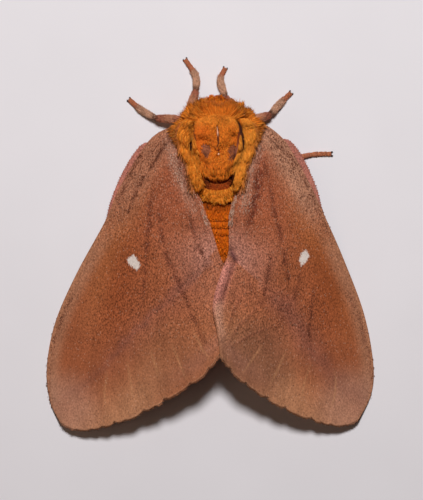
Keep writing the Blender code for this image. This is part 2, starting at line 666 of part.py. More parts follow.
def main():
    clear_scene()
    random.seed(SEED)
    materials = make_materials()
    moth = bpy.data.objects.new("moth", None)
    bpy.context.scene.collection.objects.link(moth)
    moth.scale = (MM, MM, MM)
    moth.location = [value * MM for value in BODY_TO_FRAME]

    thorax = make_thorax(materials, moth)
    abdomen = make_abdomen(materials, moth)
    head = make_head(materials, moth)
    wings = []
    for side in (-1, 1):
        name = "left" if side < 0 else "right"
        wings.append(make_wing("forewing_" + name, side, FOREWING[side], FOREWING_VEINS, FOREWING_ROWS,
                               FOREWING_VEIN, 0.0, materials["wing"], moth))
        wings.append(make_wing("hindwing_" + name, side, HINDWING[side], HINDWING_VEINS, HINDWING_ROWS,
                               HINDWING_VEIN, HINDWING_DROP, materials["hindwing"], moth))
    legs = [make_leg(name, materials, moth) for name in LEGS]
    antennae = [make_antenna(side, materials, moth) for side in (-1, 1)]
    tegulae = [make_tegula(side, materials, moth) for side in (-1, 1)]
    eyes = [make_eye(side, materials, moth) for side in (-1, 1)]

    tegula_cutters = [swollen(tegula, GAP) for tegula in tegulae]
    thorax_cutter = swollen(thorax, GAP)
    for obj in [abdomen, head] + wings + legs + antennae + tegulae:
        cut(obj, [thorax_cutter])
    eye_cutters = [swollen(eye, GAP) for eye in eyes]
    cut(head, eye_cutters)
    head_cutter = swollen(head, GAP)
    for antenna in antennae:
        cut(antenna, [head_cutter])
    wing_cutters = []
    for side in (-1, 1):
        guide = make_wing("guide", side, FOREWING[side], GUIDE_VEINS, GUIDE_ROWS, FOREWING_VEIN, 0.0,
                          materials["wing"], moth)
        wing_cutters.append(swollen(guide, GAP))
        bpy.data.objects.remove(guide)
    for tegula, forewing_cutter in zip(tegulae, wing_cutters):
        cut(tegula, [forewing_cutter])
    antenna_cutters = [swollen(antenna, GAP) for antenna in antennae]
    others = wing_cutters + antenna_cutters + [swollen(obj, GAP) for obj in [abdomen] + legs + wings[1::2]]

    fuse(thorax, trimmed(thorax_locks(materials, moth), others + tegula_cutters + eye_cutters + [head_cutter]))
    fuse(head, trimmed(head_pieces(materials, moth), eye_cutters + antenna_cutters + [thorax_cutter]))
    for side, tegula in zip((-1, 1), tegulae):
        fuse(tegula, trimmed(tegula_locks(side, materials, moth), wing_cutters + [thorax_cutter]))
    for obj in list(bpy.data.objects):
        if obj.display_type == "WIRE":
            bpy.data.objects.remove(obj)
    for obj in bpy.data.objects:
        if obj.type == "MESH":
            obj.data.shade_smooth()


main()
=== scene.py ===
import math

import bmesh
import bpy
import numpy as np
from mathutils.kdtree import KDTree
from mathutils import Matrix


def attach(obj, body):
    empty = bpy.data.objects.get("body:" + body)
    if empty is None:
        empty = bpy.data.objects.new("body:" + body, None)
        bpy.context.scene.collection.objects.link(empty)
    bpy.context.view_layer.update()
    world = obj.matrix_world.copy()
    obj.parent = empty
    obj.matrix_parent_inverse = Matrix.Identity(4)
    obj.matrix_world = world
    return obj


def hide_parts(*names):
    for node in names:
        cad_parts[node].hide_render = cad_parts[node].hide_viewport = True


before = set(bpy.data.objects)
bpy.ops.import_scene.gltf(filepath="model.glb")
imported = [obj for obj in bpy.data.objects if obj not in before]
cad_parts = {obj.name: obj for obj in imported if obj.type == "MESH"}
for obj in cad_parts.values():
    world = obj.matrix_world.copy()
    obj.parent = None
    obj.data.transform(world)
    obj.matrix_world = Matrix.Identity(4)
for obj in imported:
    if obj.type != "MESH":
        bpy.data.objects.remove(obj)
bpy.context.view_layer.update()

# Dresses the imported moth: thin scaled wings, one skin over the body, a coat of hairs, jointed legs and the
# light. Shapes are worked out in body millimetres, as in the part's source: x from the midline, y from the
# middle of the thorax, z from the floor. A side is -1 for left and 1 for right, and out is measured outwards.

MM = 0.001
BODY_TO_FRAME = np.array((0.65, 9.8, 0.0))
# The photograph's scale, and the pixel over the middle of the thorax
PIXEL = 0.096
PIXEL_MIDDLE = (216.8, 140.9)
rng = np.random.default_rng(11)
SIDES = ((-1, "left"), (1, "right"))
UP = np.array((0.0, 0.0, 1.0))

# How many hairs each coat is drawn from. The coats of the back then lose those over bare places.
HAIRS = {
    "shield": 24000, "bare": 34000, "mantle": 15000, "band": 6500, "breast": 7000, "collar": 9800,
    "neck front": 2600, "tegula": 7800, "head": 11500, "neck": 1300, "palp": 500, "abdomen": 18000,
    "leg": 640, "foot joint": 120,
}
# Width of most hairs, from the finest to the coarsest
HAIR_WIDTH = (0.05, 0.085)
# How many points there are round each closed form
SKIN_SIDES = {"thorax": 96, "abdomen": 48, "head": 40, "neck": 24, "tegula": 20, "leg": 18, "antenna": 14,
              "palp": 12, "keel": 12}
# Rows and columns of a wing
FOREWING_GRID = (210, 132)
HINDWING_GRID = (110, 80)

# The body: distance along y, centre height, half width, half height
THORAX = (
    (3.3, 5.5, 0.4, 0.5), (3.05, 5.5, 1.2, 1.25), (2.4, 5.45, 2.0, 2.0), (1.3, 5.05, 2.55, 2.9),
    (-0.6, 4.95, 2.8, 3.2), (-2.0, 4.9, 2.65, 3.2), (-3.2, 4.8, 2.3, 3.05), (-3.7, 4.75, 2.2, 2.85),
    (-3.95, 4.7, 2.1, 2.5), (-4.35, 4.6, 1.95, 2.4), (-4.6, 4.6, 1.85, 2.4), (-4.9, 4.5, 1.7, 2.0),
    (-5.2, 4.4, 0.9, 1.2), (-5.35, 4.4, 0.3, 0.4),
)
ABDOMEN = (
    (-4.3, 4.2, 1.3, 1.5), (-5.3, 4.15, 2.05, 2.35), (-6.4, 3.9, 2.45, 2.7), (-8.0, 3.45, 2.75, 3.0),
    (-10.2, 3.05, 2.8, 3.05), (-12.6, 2.65, 2.55, 2.65), (-15.0, 2.2, 2.0, 2.2), (-17.0, 1.75, 1.2, 1.5),
    (-18.0, 1.55, 0.5, 0.6), (-18.15, 1.55, 0.15, 0.2),
)
ABDOMEN_JOINTS = (-7.69, -8.41, -9.08, -11.05, -12.5, -13.9, -15.3, -16.7)
# How far the skin steps in behind each joint of the abdomen, and the mean radius that this is shared over
ABDOMEN_STEP, ABDOMEN_RADIUS = 0.11, 2.5
# The head by its middle and half axes, and the eyes by their radius and place from there. The neck and the
# palps are paths of (x, y, z, radius), and the shoulder flap's rings have two half axes each.
HEAD_CENTRE = np.array((-0.1, 2.93, 3.05))
HEAD_RADII = np.array((1.38, 1.02, 1.42))
EYE_RADIUS = 0.7
EYE_PLACE = (1.1, 0.27, 0.0)
NECK = ((-0.05, 2.1, 4.3, 0.95), (-0.08, 2.7, 3.6, 0.95))
PALP = ((0.35, 3.1, 2.45, 0.2), (0.42, 3.75, 2.25, 0.2), (0.4, 4.2, 2.45, 0.1))
TEGULA = ((2.2, 2.0, 6.1, 0.5, 0.24), (2.65, 1.1, 6.6, 0.8, 0.28), (2.6, -0.2, 6.9, 0.84, 0.3),
          (2.2, -1.6, 7.05, 0.66, 0.3), (1.9, -2.9, 7.1, 0.48, 0.26), (1.7, -4.0, 7.0, 0.28, 0.18))

# The roof of the folded wings: along y, the height of its ridge and of the leading edge, and its half width
ROOF = (
    (1.6, 6.3, 5.3, 3.9), (0.0, 6.9, 4.3, 6.4), (-1.4, 7.1, 3.5, 7.5), (-3.2, 7.2, 2.8, 8.5),
    (-4.8, 7.2, 2.3, 9.5), (-7.7, 7.15, 1.55, 10.8), (-10.2, 7.0, 1.1, 12.1), (-12.8, 6.8, 0.6, 13.5),
    (-15.0, 6.6, 0.25, 14.6), (-17.5, 6.4, 0.02, 15.6), (-20.5, 6.15, -0.12, 16.3), (-28.5, 5.3, -0.15, 17.0),
)
# How far the roof bulges, its width on each side, and how far the hindwings lie below it
ROOF_ARCH = 0.34
ROOF_WIDTH = {-1: 1.0, 1: 0.91}
HINDWING_DROP = 1.05
FOREWING = {
    -1: {
        "lead": ((2.7, 1.5), (4.5, 1.25), (6.1, 0.4), (7.5, -1.35), (9.5, -4.8), (10.75, -7.7),
                 (13.55, -12.8), (15.6, -17.5), (16.4, -21.8), (16.1, -25.0), (15.1, -27.1)),
        "outer": ((15.1, -27.1), (13.9, -27.7), (12.2, -27.8), (8.8, -26.9), (5.6, -25.3), (3.0, -23.7),
                  (1.1, -22.3), (-0.35, -20.3)),
        "inner": ((2.5, -1.0), (2.5, -3.0), (1.8, -5.0), (1.2, -6.5), (0.55, -8.3), (-0.15, -10.6),
                  (-0.75, -12.5), (-0.4, -14.6), (-0.3, -15.8), (-0.45, -18.3), (-0.35, -20.3)),
    },
    1: {
        "lead": ((2.7, 1.6), (4.4, 1.6), (6.2, 0.35), (7.5, -1.5), (9.1, -4.4), (10.5, -7.4), (12.3, -11.5),
                 (14.2, -16.6), (15.1, -21.4), (14.9, -24.4), (13.7, -26.8)),
        "outer": ((13.7, -26.8), (12.6, -27.3), (11.0, -27.35), (8.6, -26.65), (5.5, -25.2), (3.6, -23.9),
                  (1.8, -22.5), (0.3, -20.5)),
        "inner": ((2.5, -1.0), (2.6, -3.0), (1.75, -5.1), (1.25, -6.7), (1.15, -8.8), (1.1, -10.7),
                  (0.45, -12.5), (-0.2, -14.6), (-0.4, -16.2), (0.0, -18.3), (0.3, -20.5)),
    },
}
HINDWING = {
    -1: {
        "lead": ((2.1, -1.9), (4.4, -1.0), (6.6, -0.15), (7.9, -1.15), (9.25, -3.45), (10.25, -6.0),
                 (11.0, -9.2), (12.1, -13.6), (12.6, -17.6), (12.2, -19.6)),
        "outer": ((12.2, -19.6), (11.0, -20.5), (8.4, -20.7), (5.6, -20.2), (2.6, -19.5), (-1.0, -18.2)),
        "inner": ((2.0, -3.3), (2.75, -5.0), (2.9, -8.0), (1.6, -10.5), (-0.2, -12.6), (-1.0, -15.0),
                  (-1.0, -18.2)),
    },
    1: {
        "lead": ((2.1, -1.9), (4.4, -0.8), (6.5, 0.2), (7.9, -1.0), (9.1, -3.3), (9.9, -5.6), (10.4, -8.6),
                 (11.4, -13.2), (11.8, -17.4), (11.4, -19.4)),
        "outer": ((11.4, -19.4), (10.2, -20.2), (7.9, -20.4), (5.4, -20.0), (2.6, -19.4), (0.2, -18.2)),
        "inner": ((2.0, -3.3), (2.75, -5.0), (2.9, -8.0), (2.0, -10.5), (0.9, -12.2), (0.3, -14.5),
                  (0.2, -18.2)),
    },
}
# Veins: share of the way from the leading edge to the inner margin, where they start and where they end
FOREWING_VEINS = ((0.045, 0.0, 0.8), (0.13, 0.0, 0.95), (0.24, 0.0, 1.0), (0.36, 0.46, 1.0),
                  (0.48, 0.46, 1.0), (0.6, 0.46, 1.0), (0.71, 0.0, 1.0), (0.82, 0.3, 1.0), (0.94, 0.0, 1.0))
HINDWING_VEINS = ((0.1, 0.0, 0.9), (0.28, 0.0, 1.0), (0.44, 0.45, 1.0), (0.6, 0.45, 1.0), (0.74, 0.0, 1.0),
                  (0.9, 0.0, 0.95))
# How far a wing's upper and under sides lie from its middle
WING_OVER, WING_UNDER = 0.1, 0.06
HINDWING_OVER, HINDWING_UNDER = 0.07, 0.05
# Nicks of a forewing's outer margin: share of the way along it, depth as a share of the wing, and width
NICKS = ((0.24, 0.005, 0.012), (0.31, 0.012, 0.012), (0.48, 0.011, 0.011), (0.6, 0.013, 0.01),
         (0.76, 0.012, 0.012), (0.885, 0.016, 0.014))
FINE_NICKS = 26
# The cross vein that closes the middle cell: its row of the forewing's grid, and the columns it runs over
CELL_ROW, CELL_COLUMNS = 96, range(31, 95, 6)

# Legs: where they leave the body, trochanter, knee, ankle, bend and tip of the foot
LEGS = {
    "leg_front_left": ((-0.8, 1.4, 2.6), (-1.5, 1.9, 1.25), (-2.75, 2.75, 2.05), (-2.0, 4.85, 0.72),
                       (-2.05, 6.3, 0.3), (-3.0, 7.85, 0.22)),
    "leg_front_right": ((0.8, 1.4, 2.6), (1.4, 1.9, 1.25), (2.35, 2.65, 2.05), (0.85, 4.2, 0.8),
                        (0.35, 5.9, 0.3), (0.78, 7.0, 0.22)),
    "leg_mid_left": ((-1.5, 0.2, 2.4), (-2.2, 0.9, 1.2), (-3.2, 2.1, 2.2), (-5.8, 2.2, 0.95),
                     (-7.3, 3.05, 0.3), (-8.4, 4.0, 0.22)),
    "leg_mid_right": ((1.5, 0.2, 2.4), (2.2, 0.9, 1.2), (3.2, 2.0, 2.1), (5.05, 2.5, 0.95),
                      (6.2, 3.75, 0.3), (7.1, 4.65, 0.22)),
    "leg_hind_left": ((-1.4, -1.6, 2.2), (-2.2, -1.9, 1.1), (-4.1, -2.6, 1.8), (-6.0, -4.4, 0.7),
                      (-6.6, -5.9, 0.27), (-7.2, -7.5, 0.2)),
    "leg_hind_right": ((1.4, -1.6, 2.2), (2.3, -1.9, 1.1), (4.6, -2.3, 1.75), (7.5, -1.6, 0.6),
                       (9.3, -1.25, 0.25), (11.0, -1.2, 0.2)),
}
# How far along the last stretch of each leg, from ankle to tip, the foot starts after the shin
FOOT_START = {"leg_front_left": 0.62, "leg_front_right": 0.72, "leg_mid_left": 0.7, "leg_mid_right": 0.68,
              "leg_hind_left": 0.1, "leg_hind_right": 0.1}
# The right antenna: x, y, z and radius
ANTENNA = ((0.75, 2.95, 4.0, 0.15), (1.35, 3.25, 4.5, 0.15), (2.15, 2.75, 4.3, 0.15), (2.8, 1.9, 3.85, 0.15),
           (3.25, 0.9, 3.35, 0.14), (3.7, -0.5, 2.85, 0.13), (4.1, -2.1, 2.4, 0.11), (4.4, -3.6, 2.0, 0.06))


def srgb(*colour):
    """A colour of 0 to 255 as linear red, green and blue."""
    share = np.array(colour) / 255
    return np.where(share <= 0.04045, share / 12.92, ((share + 0.055) / 1.055) ** 2.4)


def px(*points):
    """Places in the photograph, in pixels, as body millimetres."""
    return [((x - PIXEL_MIDDLE[0]) * PIXEL, (PIXEL_MIDDLE[1] - y) * PIXEL) for x, y in points]


def soft(value, start, end):
    """0 at start, 1 at end, and smooth between them."""
    share = np.clip((value - start) / (end - start), 0, 1)
    return share * share * (3 - 2 * share)


def bell(value, half):
    """1 where value is 0, and falling away over half on both sides."""
    return np.exp(-((value / half) ** 2))


def circle(count):
    """Angles evenly spaced round a ring."""
    return math.tau * np.arange(count) / count


def columns(*values):
    """The values side by side along a new last axis. A single number stands in every row."""
    return np.stack(np.broadcast_arrays(*values), -1)


def unit(vectors):
    return vectors / np.maximum(np.linalg.norm(vectors, axis=-1, keepdims=True), 1e-9)


def along_surface(lie, normal):
    """Directions turned into the surface, each at its own place."""
    return unit(lie - normal * (lie * normal).sum(-1, keepdims=True))


def kept(keep, *arrays):
    """The chosen rows of each array."""
    return (values[keep] for values in arrays)


def joined(batches):
    """The batches' first arrays as one, then their second ones, and so on."""
    return (np.concatenate(values) for values in zip(*batches))


def mirror(side, *arrays):
    """Moves points and directions from the right side to the side asked for."""
    for values in arrays:
        values[..., 0] *= side


def widths(count, finest=HAIR_WIDTH[0], coarsest=HAIR_WIDTH[1]):
    return rng.uniform(finest, coarsest, count)


def smooth_path(points, count):
    """count points evenly spaced along a smooth curve through the given points."""
    knots = np.array(points, float)
    padded = np.vstack([2 * knots[0] - knots[1], knots, 2 * knots[-1] - knots[-2]])
    dense = []
    for i in range(1, len(padded) - 2):
        before, start, end, after = padded[i - 1 : i + 3]
        for t in np.linspace(0, 1, 16, endpoint=False):
            dense.append(
                0.5 * (2 * start + (end - before) * t + (2 * before - 5 * start + 4 * end - after) * t**2
                       + (3 * start - before - 3 * end + after) * t**3)
            )
    dense.append(knots[-1])
    dense = np.array(dense)
    steps = np.linalg.norm(np.diff(dense[:, : min(3, dense.shape[1])], axis=0), axis=1)
    along = np.concatenate([[0], np.cumsum(steps)])
    wanted = np.linspace(0, along[-1], count)
    return np.array([np.interp(wanted, along, dense[:, k]) for k in range(dense.shape[1])]).T


def table_at(table, y):
    """The columns of a table at y, between its rows, whose first numbers fall."""
    rows = np.array(table, float)[::-1]
    return [np.interp(y, rows[:, 0], rows[:, k]) for k in range(1, rows.shape[1])]


def line_distance(x, y, line):
    """How far plan points lie from a line, how far along it, and on which side: 1 is left of its way."""
    points = columns(x, y)
    line = np.array(line, float)
    lengths = np.linalg.norm(np.diff(line, axis=0), axis=1)
    best, along, turn = np.full(x.shape, 1e9), np.zeros(x.shape), np.zeros(x.shape)
    done = 0.0
    for start, end, length in zip(line[:-1], line[1:], lengths):
        way = end - start
        share = np.clip((points - start) @ way / length**2, 0, 1)
        offset = points - (start + share[..., None] * way)
        distance = np.linalg.norm(offset, axis=-1)
        nearer = distance < best
        best = np.where(nearer, distance, best)
        along = np.where(nearer, (done + share * length) / lengths.sum(), along)
        turn = np.where(nearer, np.sign(way[0] * offset[..., 1] - way[1] * offset[..., 0]), turn)
        done += length
    return best, along, turn


def blend(tint, colour, share):
    """Lays a colour of 0 to 255 over tints, each by its share."""
    share = np.asarray(share)[..., None]
    return tint * (1 - share) + srgb(*colour) * share


def along_line(x, y, line, half):
    """1 on a line and falling away over half, fading at its ends."""
    near, share, turn = line_distance(x, y, line)
    return bell(near, half) * np.sin(math.pi * np.clip(share, 0.04, 0.96)) ** 0.5


def depth_inside(x, y, corners):
    """How deep plan points lie inside a convex outline, and below 0 outside it."""
    corners = np.array(corners)
    after = np.roll(corners, -1, axis=0)
    area = (corners[:, 0] * after[:, 1] - after[:, 0] * corners[:, 1]).sum()
    depth = np.full(x.shape, 9.0)
    for start, way in zip(corners, unit(after - corners) * np.sign(area)):
        depth = np.minimum(depth, way[0] * (y - start[1]) - way[1] * (x - start[0]))
    return depth


def waves(x, y, scale, seed):
    """A smooth random field of about -1 to 1, whose waves are scale millimetres long."""
    draw = np.random.default_rng(seed)
    total = np.zeros(np.shape(x))
    for k in range(7):
        turn, phase = draw.uniform(0, math.tau, 2)
        reach = math.tau / scale * draw.uniform(0.6, 1.6)
        total = total + np.sin(reach * (x * math.cos(turn) + y * math.sin(turn)) + phase)
    return total / 3.5


def put(name, data):
    """A new object in the scene."""
    obj = bpy.data.objects.new(name, data)
    bpy.context.scene.collection.objects.link(obj)
    return obj


def new_mesh(name, verts, faces, material, tint=None, smooth=True, marks=None):
    """A mesh object from body millimetres, with a tint for each point."""
    mesh = bpy.data.meshes.new(name)
    place = (np.array(verts, float) + BODY_TO_FRAME) * MM
    mesh.from_pydata(place.tolist(), [], faces if isinstance(faces, list) else faces.tolist())
    if tint is not None:
        paint(mesh, "tint", tint)
    if marks is not None:
        paint(mesh, "marks", marks)
    mesh.materials.append(material)
    if smooth:
        mesh.shade_smooth()
    return put(name, mesh)


def paint(mesh, name, colours):
    layer = mesh.attributes.new(name, "FLOAT_COLOR", "POINT")
    full = np.ones((len(mesh.vertices), 4))
    full[:, : np.shape(colours)[1]] = colours
    layer.data.foreach_set("color", full.ravel())


def face_outwards(obj):
    bm = bmesh.new()
    bm.from_mesh(obj.data)
    bmesh.ops.recalc_face_normals(bm, faces=bm.faces)
    bm.to_mesh(obj.data)
    bm.free()


def mount(obj, slot, *nodes):
    """Fixes a piece to the moth, and hides the solids that it stands for. The slot is not used."""
    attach(obj, "root")
    if nodes:
        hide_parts(*nodes)


class Shader:
    """A Principled material, and short ways to add nodes to it."""

    def __init__(self, name, roughness, specular=0.3):
        self.material = bpy.data.materials.new(name)
        self.material.use_nodes = True
        self.tree = self.material.node_tree
        self.principled = self.tree.nodes["Principled BSDF"]
        self.principled.inputs["Roughness"].default_value = roughness
        self.principled.inputs["Specular IOR Level"].default_value = specular

    def feed(self, socket, value):
        """Links a node's output to a socket, or gives the socket a value."""
        if isinstance(value, bpy.types.NodeSocket):
            self.tree.links.new(value, socket)
        else:
            socket.default_value = value

    def node(self, kind, inputs=(), **settings):
        made = self.tree.nodes.new(kind)
        for key, value in settings.items():
            setattr(made, key, value)
        for key, value in dict(inputs).items():
            self.feed(made.inputs[key], value)
        return made

    def math(self, operation, a, b=0.0):
        return self.node("ShaderNodeMath", {0: a, 1: b}, operation=operation).outputs[0]

    def spread(self, value, low, high, to_low, to_high):
        inputs = {"Value": value, "From Min": low, "From Max": high, "To Min": to_low, "To Max": to_high}
        return self.node("ShaderNodeMapRange", inputs).outputs["Result"]

    def mix(self, share, a, b, blend="MIX"):
        inputs = {0: share, 6: a, 7: b}
        return self.node("ShaderNodeMix", inputs, data_type="RGBA", blend_type=blend).outputs[2]

    def attribute(self, name):
        return self.node("ShaderNodeAttribute", attribute_name=name)

    def place(self, stretch=(1, 1, 1)):
        """Where a point lies, in millimetres, drawn out along an axis by a number below 1."""
        where = self.node("ShaderNodeTexCoord").outputs["Object"]
        scale = [value / MM for value in stretch]
        return self.node("ShaderNodeMapping", {"Vector": where, "Scale": scale}).outputs["Vector"]

    def noise(self, where, scale, detail=2.0):
        inputs = {"Vector": where, "Scale": scale, "Detail": detail, "Roughness": 0.6}
        return self.node("ShaderNodeTexNoise", inputs).outputs["Fac"]

    def set(self, name, value):
        self.feed(self.principled.inputs[name], value)

    def bump(self, height, distance, strength=1.0):
        inputs = {"Height": height, "Distance": distance * MM, "Strength": strength}
        self.set("Normal", self.node("ShaderNodeBump", inputs).outputs["Normal"])


def grain(shader, colour, where, scale, amount, detail=2.0):
    """Multiplies a colour by a fine random grain."""
    value = shader.spread(shader.noise(where, scale, detail), 0.28, 0.72, 1 - amount, 1 + amount)
    return shader.mix(1.0, colour, value, "MULTIPLY")


def scale_material(name, roughness):
    """Wing scales: the painted zones, with sandy grain and single dark and pale scales strewn in."""
    shader = Shader(name, roughness, 0.1)
    tint, marks = shader.attribute("tint"), shader.attribute("marks")
    share = shader.node("ShaderNodeSeparateColor", {"Color": marks.outputs["Color"]})
    where = shader.place((1.0, 0.7, 1.0))
    colour = grain(shader, tint.outputs["Color"], where, 0.7, 0.1, 5.0)
    sand = shader.math("SUBTRACT", shader.noise(where, 7.5, 1.5), 0.5)
    sand = shader.math("MULTIPLY", shader.math("MULTIPLY", sand, share.outputs["Blue"]), 4.0)
    colour = shader.mix(1.0, colour, shader.math("ADD", sand, 1.0), "MULTIPLY")
    for socket, seed_shift, tone, strength in (
        ("Red", 0.0, (*srgb(70, 30, 22), 1), 0.6),
        ("Green", 37.0, (*srgb(212, 164, 138), 1), 0.4),
    ):
        shift = {0: where, 1: (seed_shift, seed_shift, 0)}
        moved = shader.node("ShaderNodeVectorMath", shift, operation="ADD")
        cells = shader.node("ShaderNodeTexVoronoi", {"Vector": moved.outputs[0], "Scale": 8.5})
        draw = shader.node("ShaderNodeSeparateColor", {"Color": cells.outputs["Color"]}).outputs["Red"]
        chosen = shader.math("LESS_THAN", draw, share.outputs[socket])
        dot = shader.spread(cells.outputs["Distance"], 0.5, 0.3, 0.0, strength)
        colour = shader.mix(shader.math("MULTIPLY", chosen, dot), colour, tone)
    fray = shader.spread(shader.noise(where, 8.0, 3.0), 0.3, 0.7, -0.22, 0.22)
    ragged = shader.math("ADD", marks.outputs["Alpha"], fray)
    white = grain(shader, (*srgb(226, 214, 206), 1), where, 6.0, 0.12)
    colour = shader.mix(shader.spread(ragged, 0.36, 0.66, 0.0, 0.93), colour, white)
    shader.set("Base Color", colour)
    shader.bump(shader.noise(where, 8.0, 2.0), 0.035, 0.6)
    return shader.material


def grained_shader(name, roughness, specular, size, amount, detail=2.0, colour=None):
    """A shader of one colour, or of the painted tint, with a fine grain on it."""
    shader = Shader(name, roughness, specular)
    base = shader.attribute("tint").outputs["Color"] if colour is None else (*srgb(*colour), 1)
    shader.set("Base Color", grain(shader, base, shader.place(), size, amount, detail))
    return shader


def hair_material(name, roughness=0.62):
    shader = grained_shader(name, roughness, 0.08, 3.0, 0.16)
    shader.bump(shader.noise(shader.place((1.0, 0.15, 1.0)), 22.0, 1.0), 0.01, 0.5)
    return shader.material


def skin_material(name, roughness, size, bump, specular):
    shader = grained_shader(name, roughness, specular, size, 0.2, 3.0)
    shader.bump(shader.noise(shader.place(), size * 2.2, 3.0), bump, 0.6)
    return shader.material


def eye_material(name):
    shader = grained_shader(name, 0.35, 0.25, 1.2, 0.35, colour=(36, 24, 20))
    shader.set("Coat Weight", 0.15)
    return shader.material


MATERIALS = {
    "forewing": scale_material("forewing_scales", 0.72),
    "hindwing": scale_material("hindwing_scales", 0.75),
    "coat": hair_material("long_hair"),
    "abdomen_coat": hair_material("short_hair"),
    "wing_coat": hair_material("wing_hair", 0.7),
    "leg_coat": hair_material("leg_hair", 0.7),
    "skin": skin_material("body_skin", 0.75, 5.0, 0.03, 0.12),
    "leg": skin_material("leg_scales", 0.66, 7.0, 0.03, 0.25),
    "antenna": skin_material("antenna_skin", 0.6, 7.0, 0.02, 0.35),
    "eye": eye_material("eye_facets"),
    "floor": grained_shader("pale_floor", 0.9, 0.1, 0.08, 0.015, colour=(229, 226, 231)).material,
}


# Camera, light and floor

# Millimetres: the camera above the floor, what it sees from top to bottom at a level halfway up the moth
CAMERA_HEIGHT, LEVEL = 600.0, 3.0
PHOTO_MIDDLE, PHOTO_HEIGHT = (211.5, 250.0), 500
SENSOR = 36.0
# Name, place, size and power of each lamp, and its colour
LAMPS = (
    ("key", (4.0, 90.0, 210.0), 44.0, 0.475, (1.0, 0.99, 0.98)),
    ("fill", (-150.0, -40.0, 220.0), 180.0, 0.041, (1.0, 0.72, 0.52)),
)
STUDIO_COLOUR, STUDIO_STRENGTH = (1.0, 0.74, 0.58, 1.0), 0.03
FLOOR_REACH, FLOOR_LEVEL = 0.6, -1e-5


def make_stage():
    """The camera over the moth, two lamps, the studio's faint light and the floor."""
    camera = bpy.data.cameras.new("camera")
    camera.sensor_width = SENSOR
    camera.lens = SENSOR * (CAMERA_HEIGHT - LEVEL) / (PHOTO_HEIGHT * PIXEL)
    camera.clip_start, camera.clip_end = 0.01, 10.0
    holder = put("camera", camera)
    middle = np.array(px(PHOTO_MIDDLE)[0]) + BODY_TO_FRAME[:2]
    holder.location = [value * MM for value in (*middle, CAMERA_HEIGHT)]
    bpy.context.scene.camera = holder

    for name, place, size, power, colour in LAMPS:
        light = bpy.data.lights.new(name, "AREA")
        light.shape = "DISK"
        light.size = size * MM
        light.energy = power
        light.color = colour
        lamp = put(name, light)
        lamp.location = [value * MM for value in place]
        lamp.rotation_euler = (-lamp.location).to_track_quat("-Z", "Y").to_euler()
        lamp.visible_camera = False

    world = bpy.data.worlds.new("studio")
    world.use_nodes = True
    background = world.node_tree.nodes["Background"]
    background.inputs["Color"].default_value = STUDIO_COLOUR
    background.inputs["Strength"].default_value = STUDIO_STRENGTH
    bpy.context.scene.world = world
    bpy.context.scene.view_settings.view_transform = "Standard"

    floor = bpy.data.meshes.new("floor")
    corners = ((-1, -1), (1, -1), (1, 1), (-1, 1))
    corners = [(FLOOR_REACH * a, FLOOR_REACH * b, FLOOR_LEVEL) for a, b in corners]
    floor.from_pydata(corners, [], [(0, 1, 2, 3)])
    floor.materials.append(MATERIALS["floor"])
    put("floor", floor)


# Hairs

# Share of its full width that a hair has at each of its rings, by how many rings it has
HAIR_TAPERS = {3: (0.9, 0.95, 0.0), 4: (0.8, 1.0, 0.66, 0.0)}
# The finish that each hair material belongs to
HAIR_SLOTS = {"coat": "coat", "abdomen_coat": "abdomen", "wing_coat": "forewing", "leg_coat": "leg"}
# How large a piece of the UV map each hair has
UV_PATCH = 0.003


def arcs(root, lie, length, normal, rise, rings=4, drop=0.0):
    """The middle lines of hairs that rise off a surface and lie over along it."""
    length, rise = np.reshape(length, (-1, 1)), np.reshape(rise, (-1, 1))
    paths = []
    for share in np.linspace(0, 1, rings):
        stand = np.interp(share, (0, 0.35, 0.7, 1), (-0.25, 0.7, 1.0, 0.8)) * rise - 0.04 * (share == 0)
        path = root + lie * share * length + normal * stand
        path[:, 2] -= drop * share**2
        paths.append(path)
    return np.stack(paths, 1)


def clump(paths, strength, spacing):
    """Draws the ends of neighbouring hairs together, so that they lie in pointed locks."""
    roots, rings = paths[:, 0], paths.shape[1]
    taken = {}
    for k in rng.permutation(len(roots)):
        taken.setdefault(tuple(np.floor(roots[k] / spacing).astype(int)), roots[k])
    tree = KDTree(len(taken))
    for k, centre in enumerate(taken.values()):
        tree.insert(centre, k)
    tree.balance()
    labels = np.array([tree.find(root)[1] for root in roots])
    counts = np.maximum(np.bincount(labels, minlength=len(taken)), 1)
    for r in range(1, rings):
        share = strength * (r / (rings - 1)) ** 1.3
        sums = np.zeros((len(taken), 3))
        np.add.at(sums, labels, paths[:, r])
        paths[:, r] = paths[:, r] * (1 - share) + (sums / counts[:, None])[labels] * share


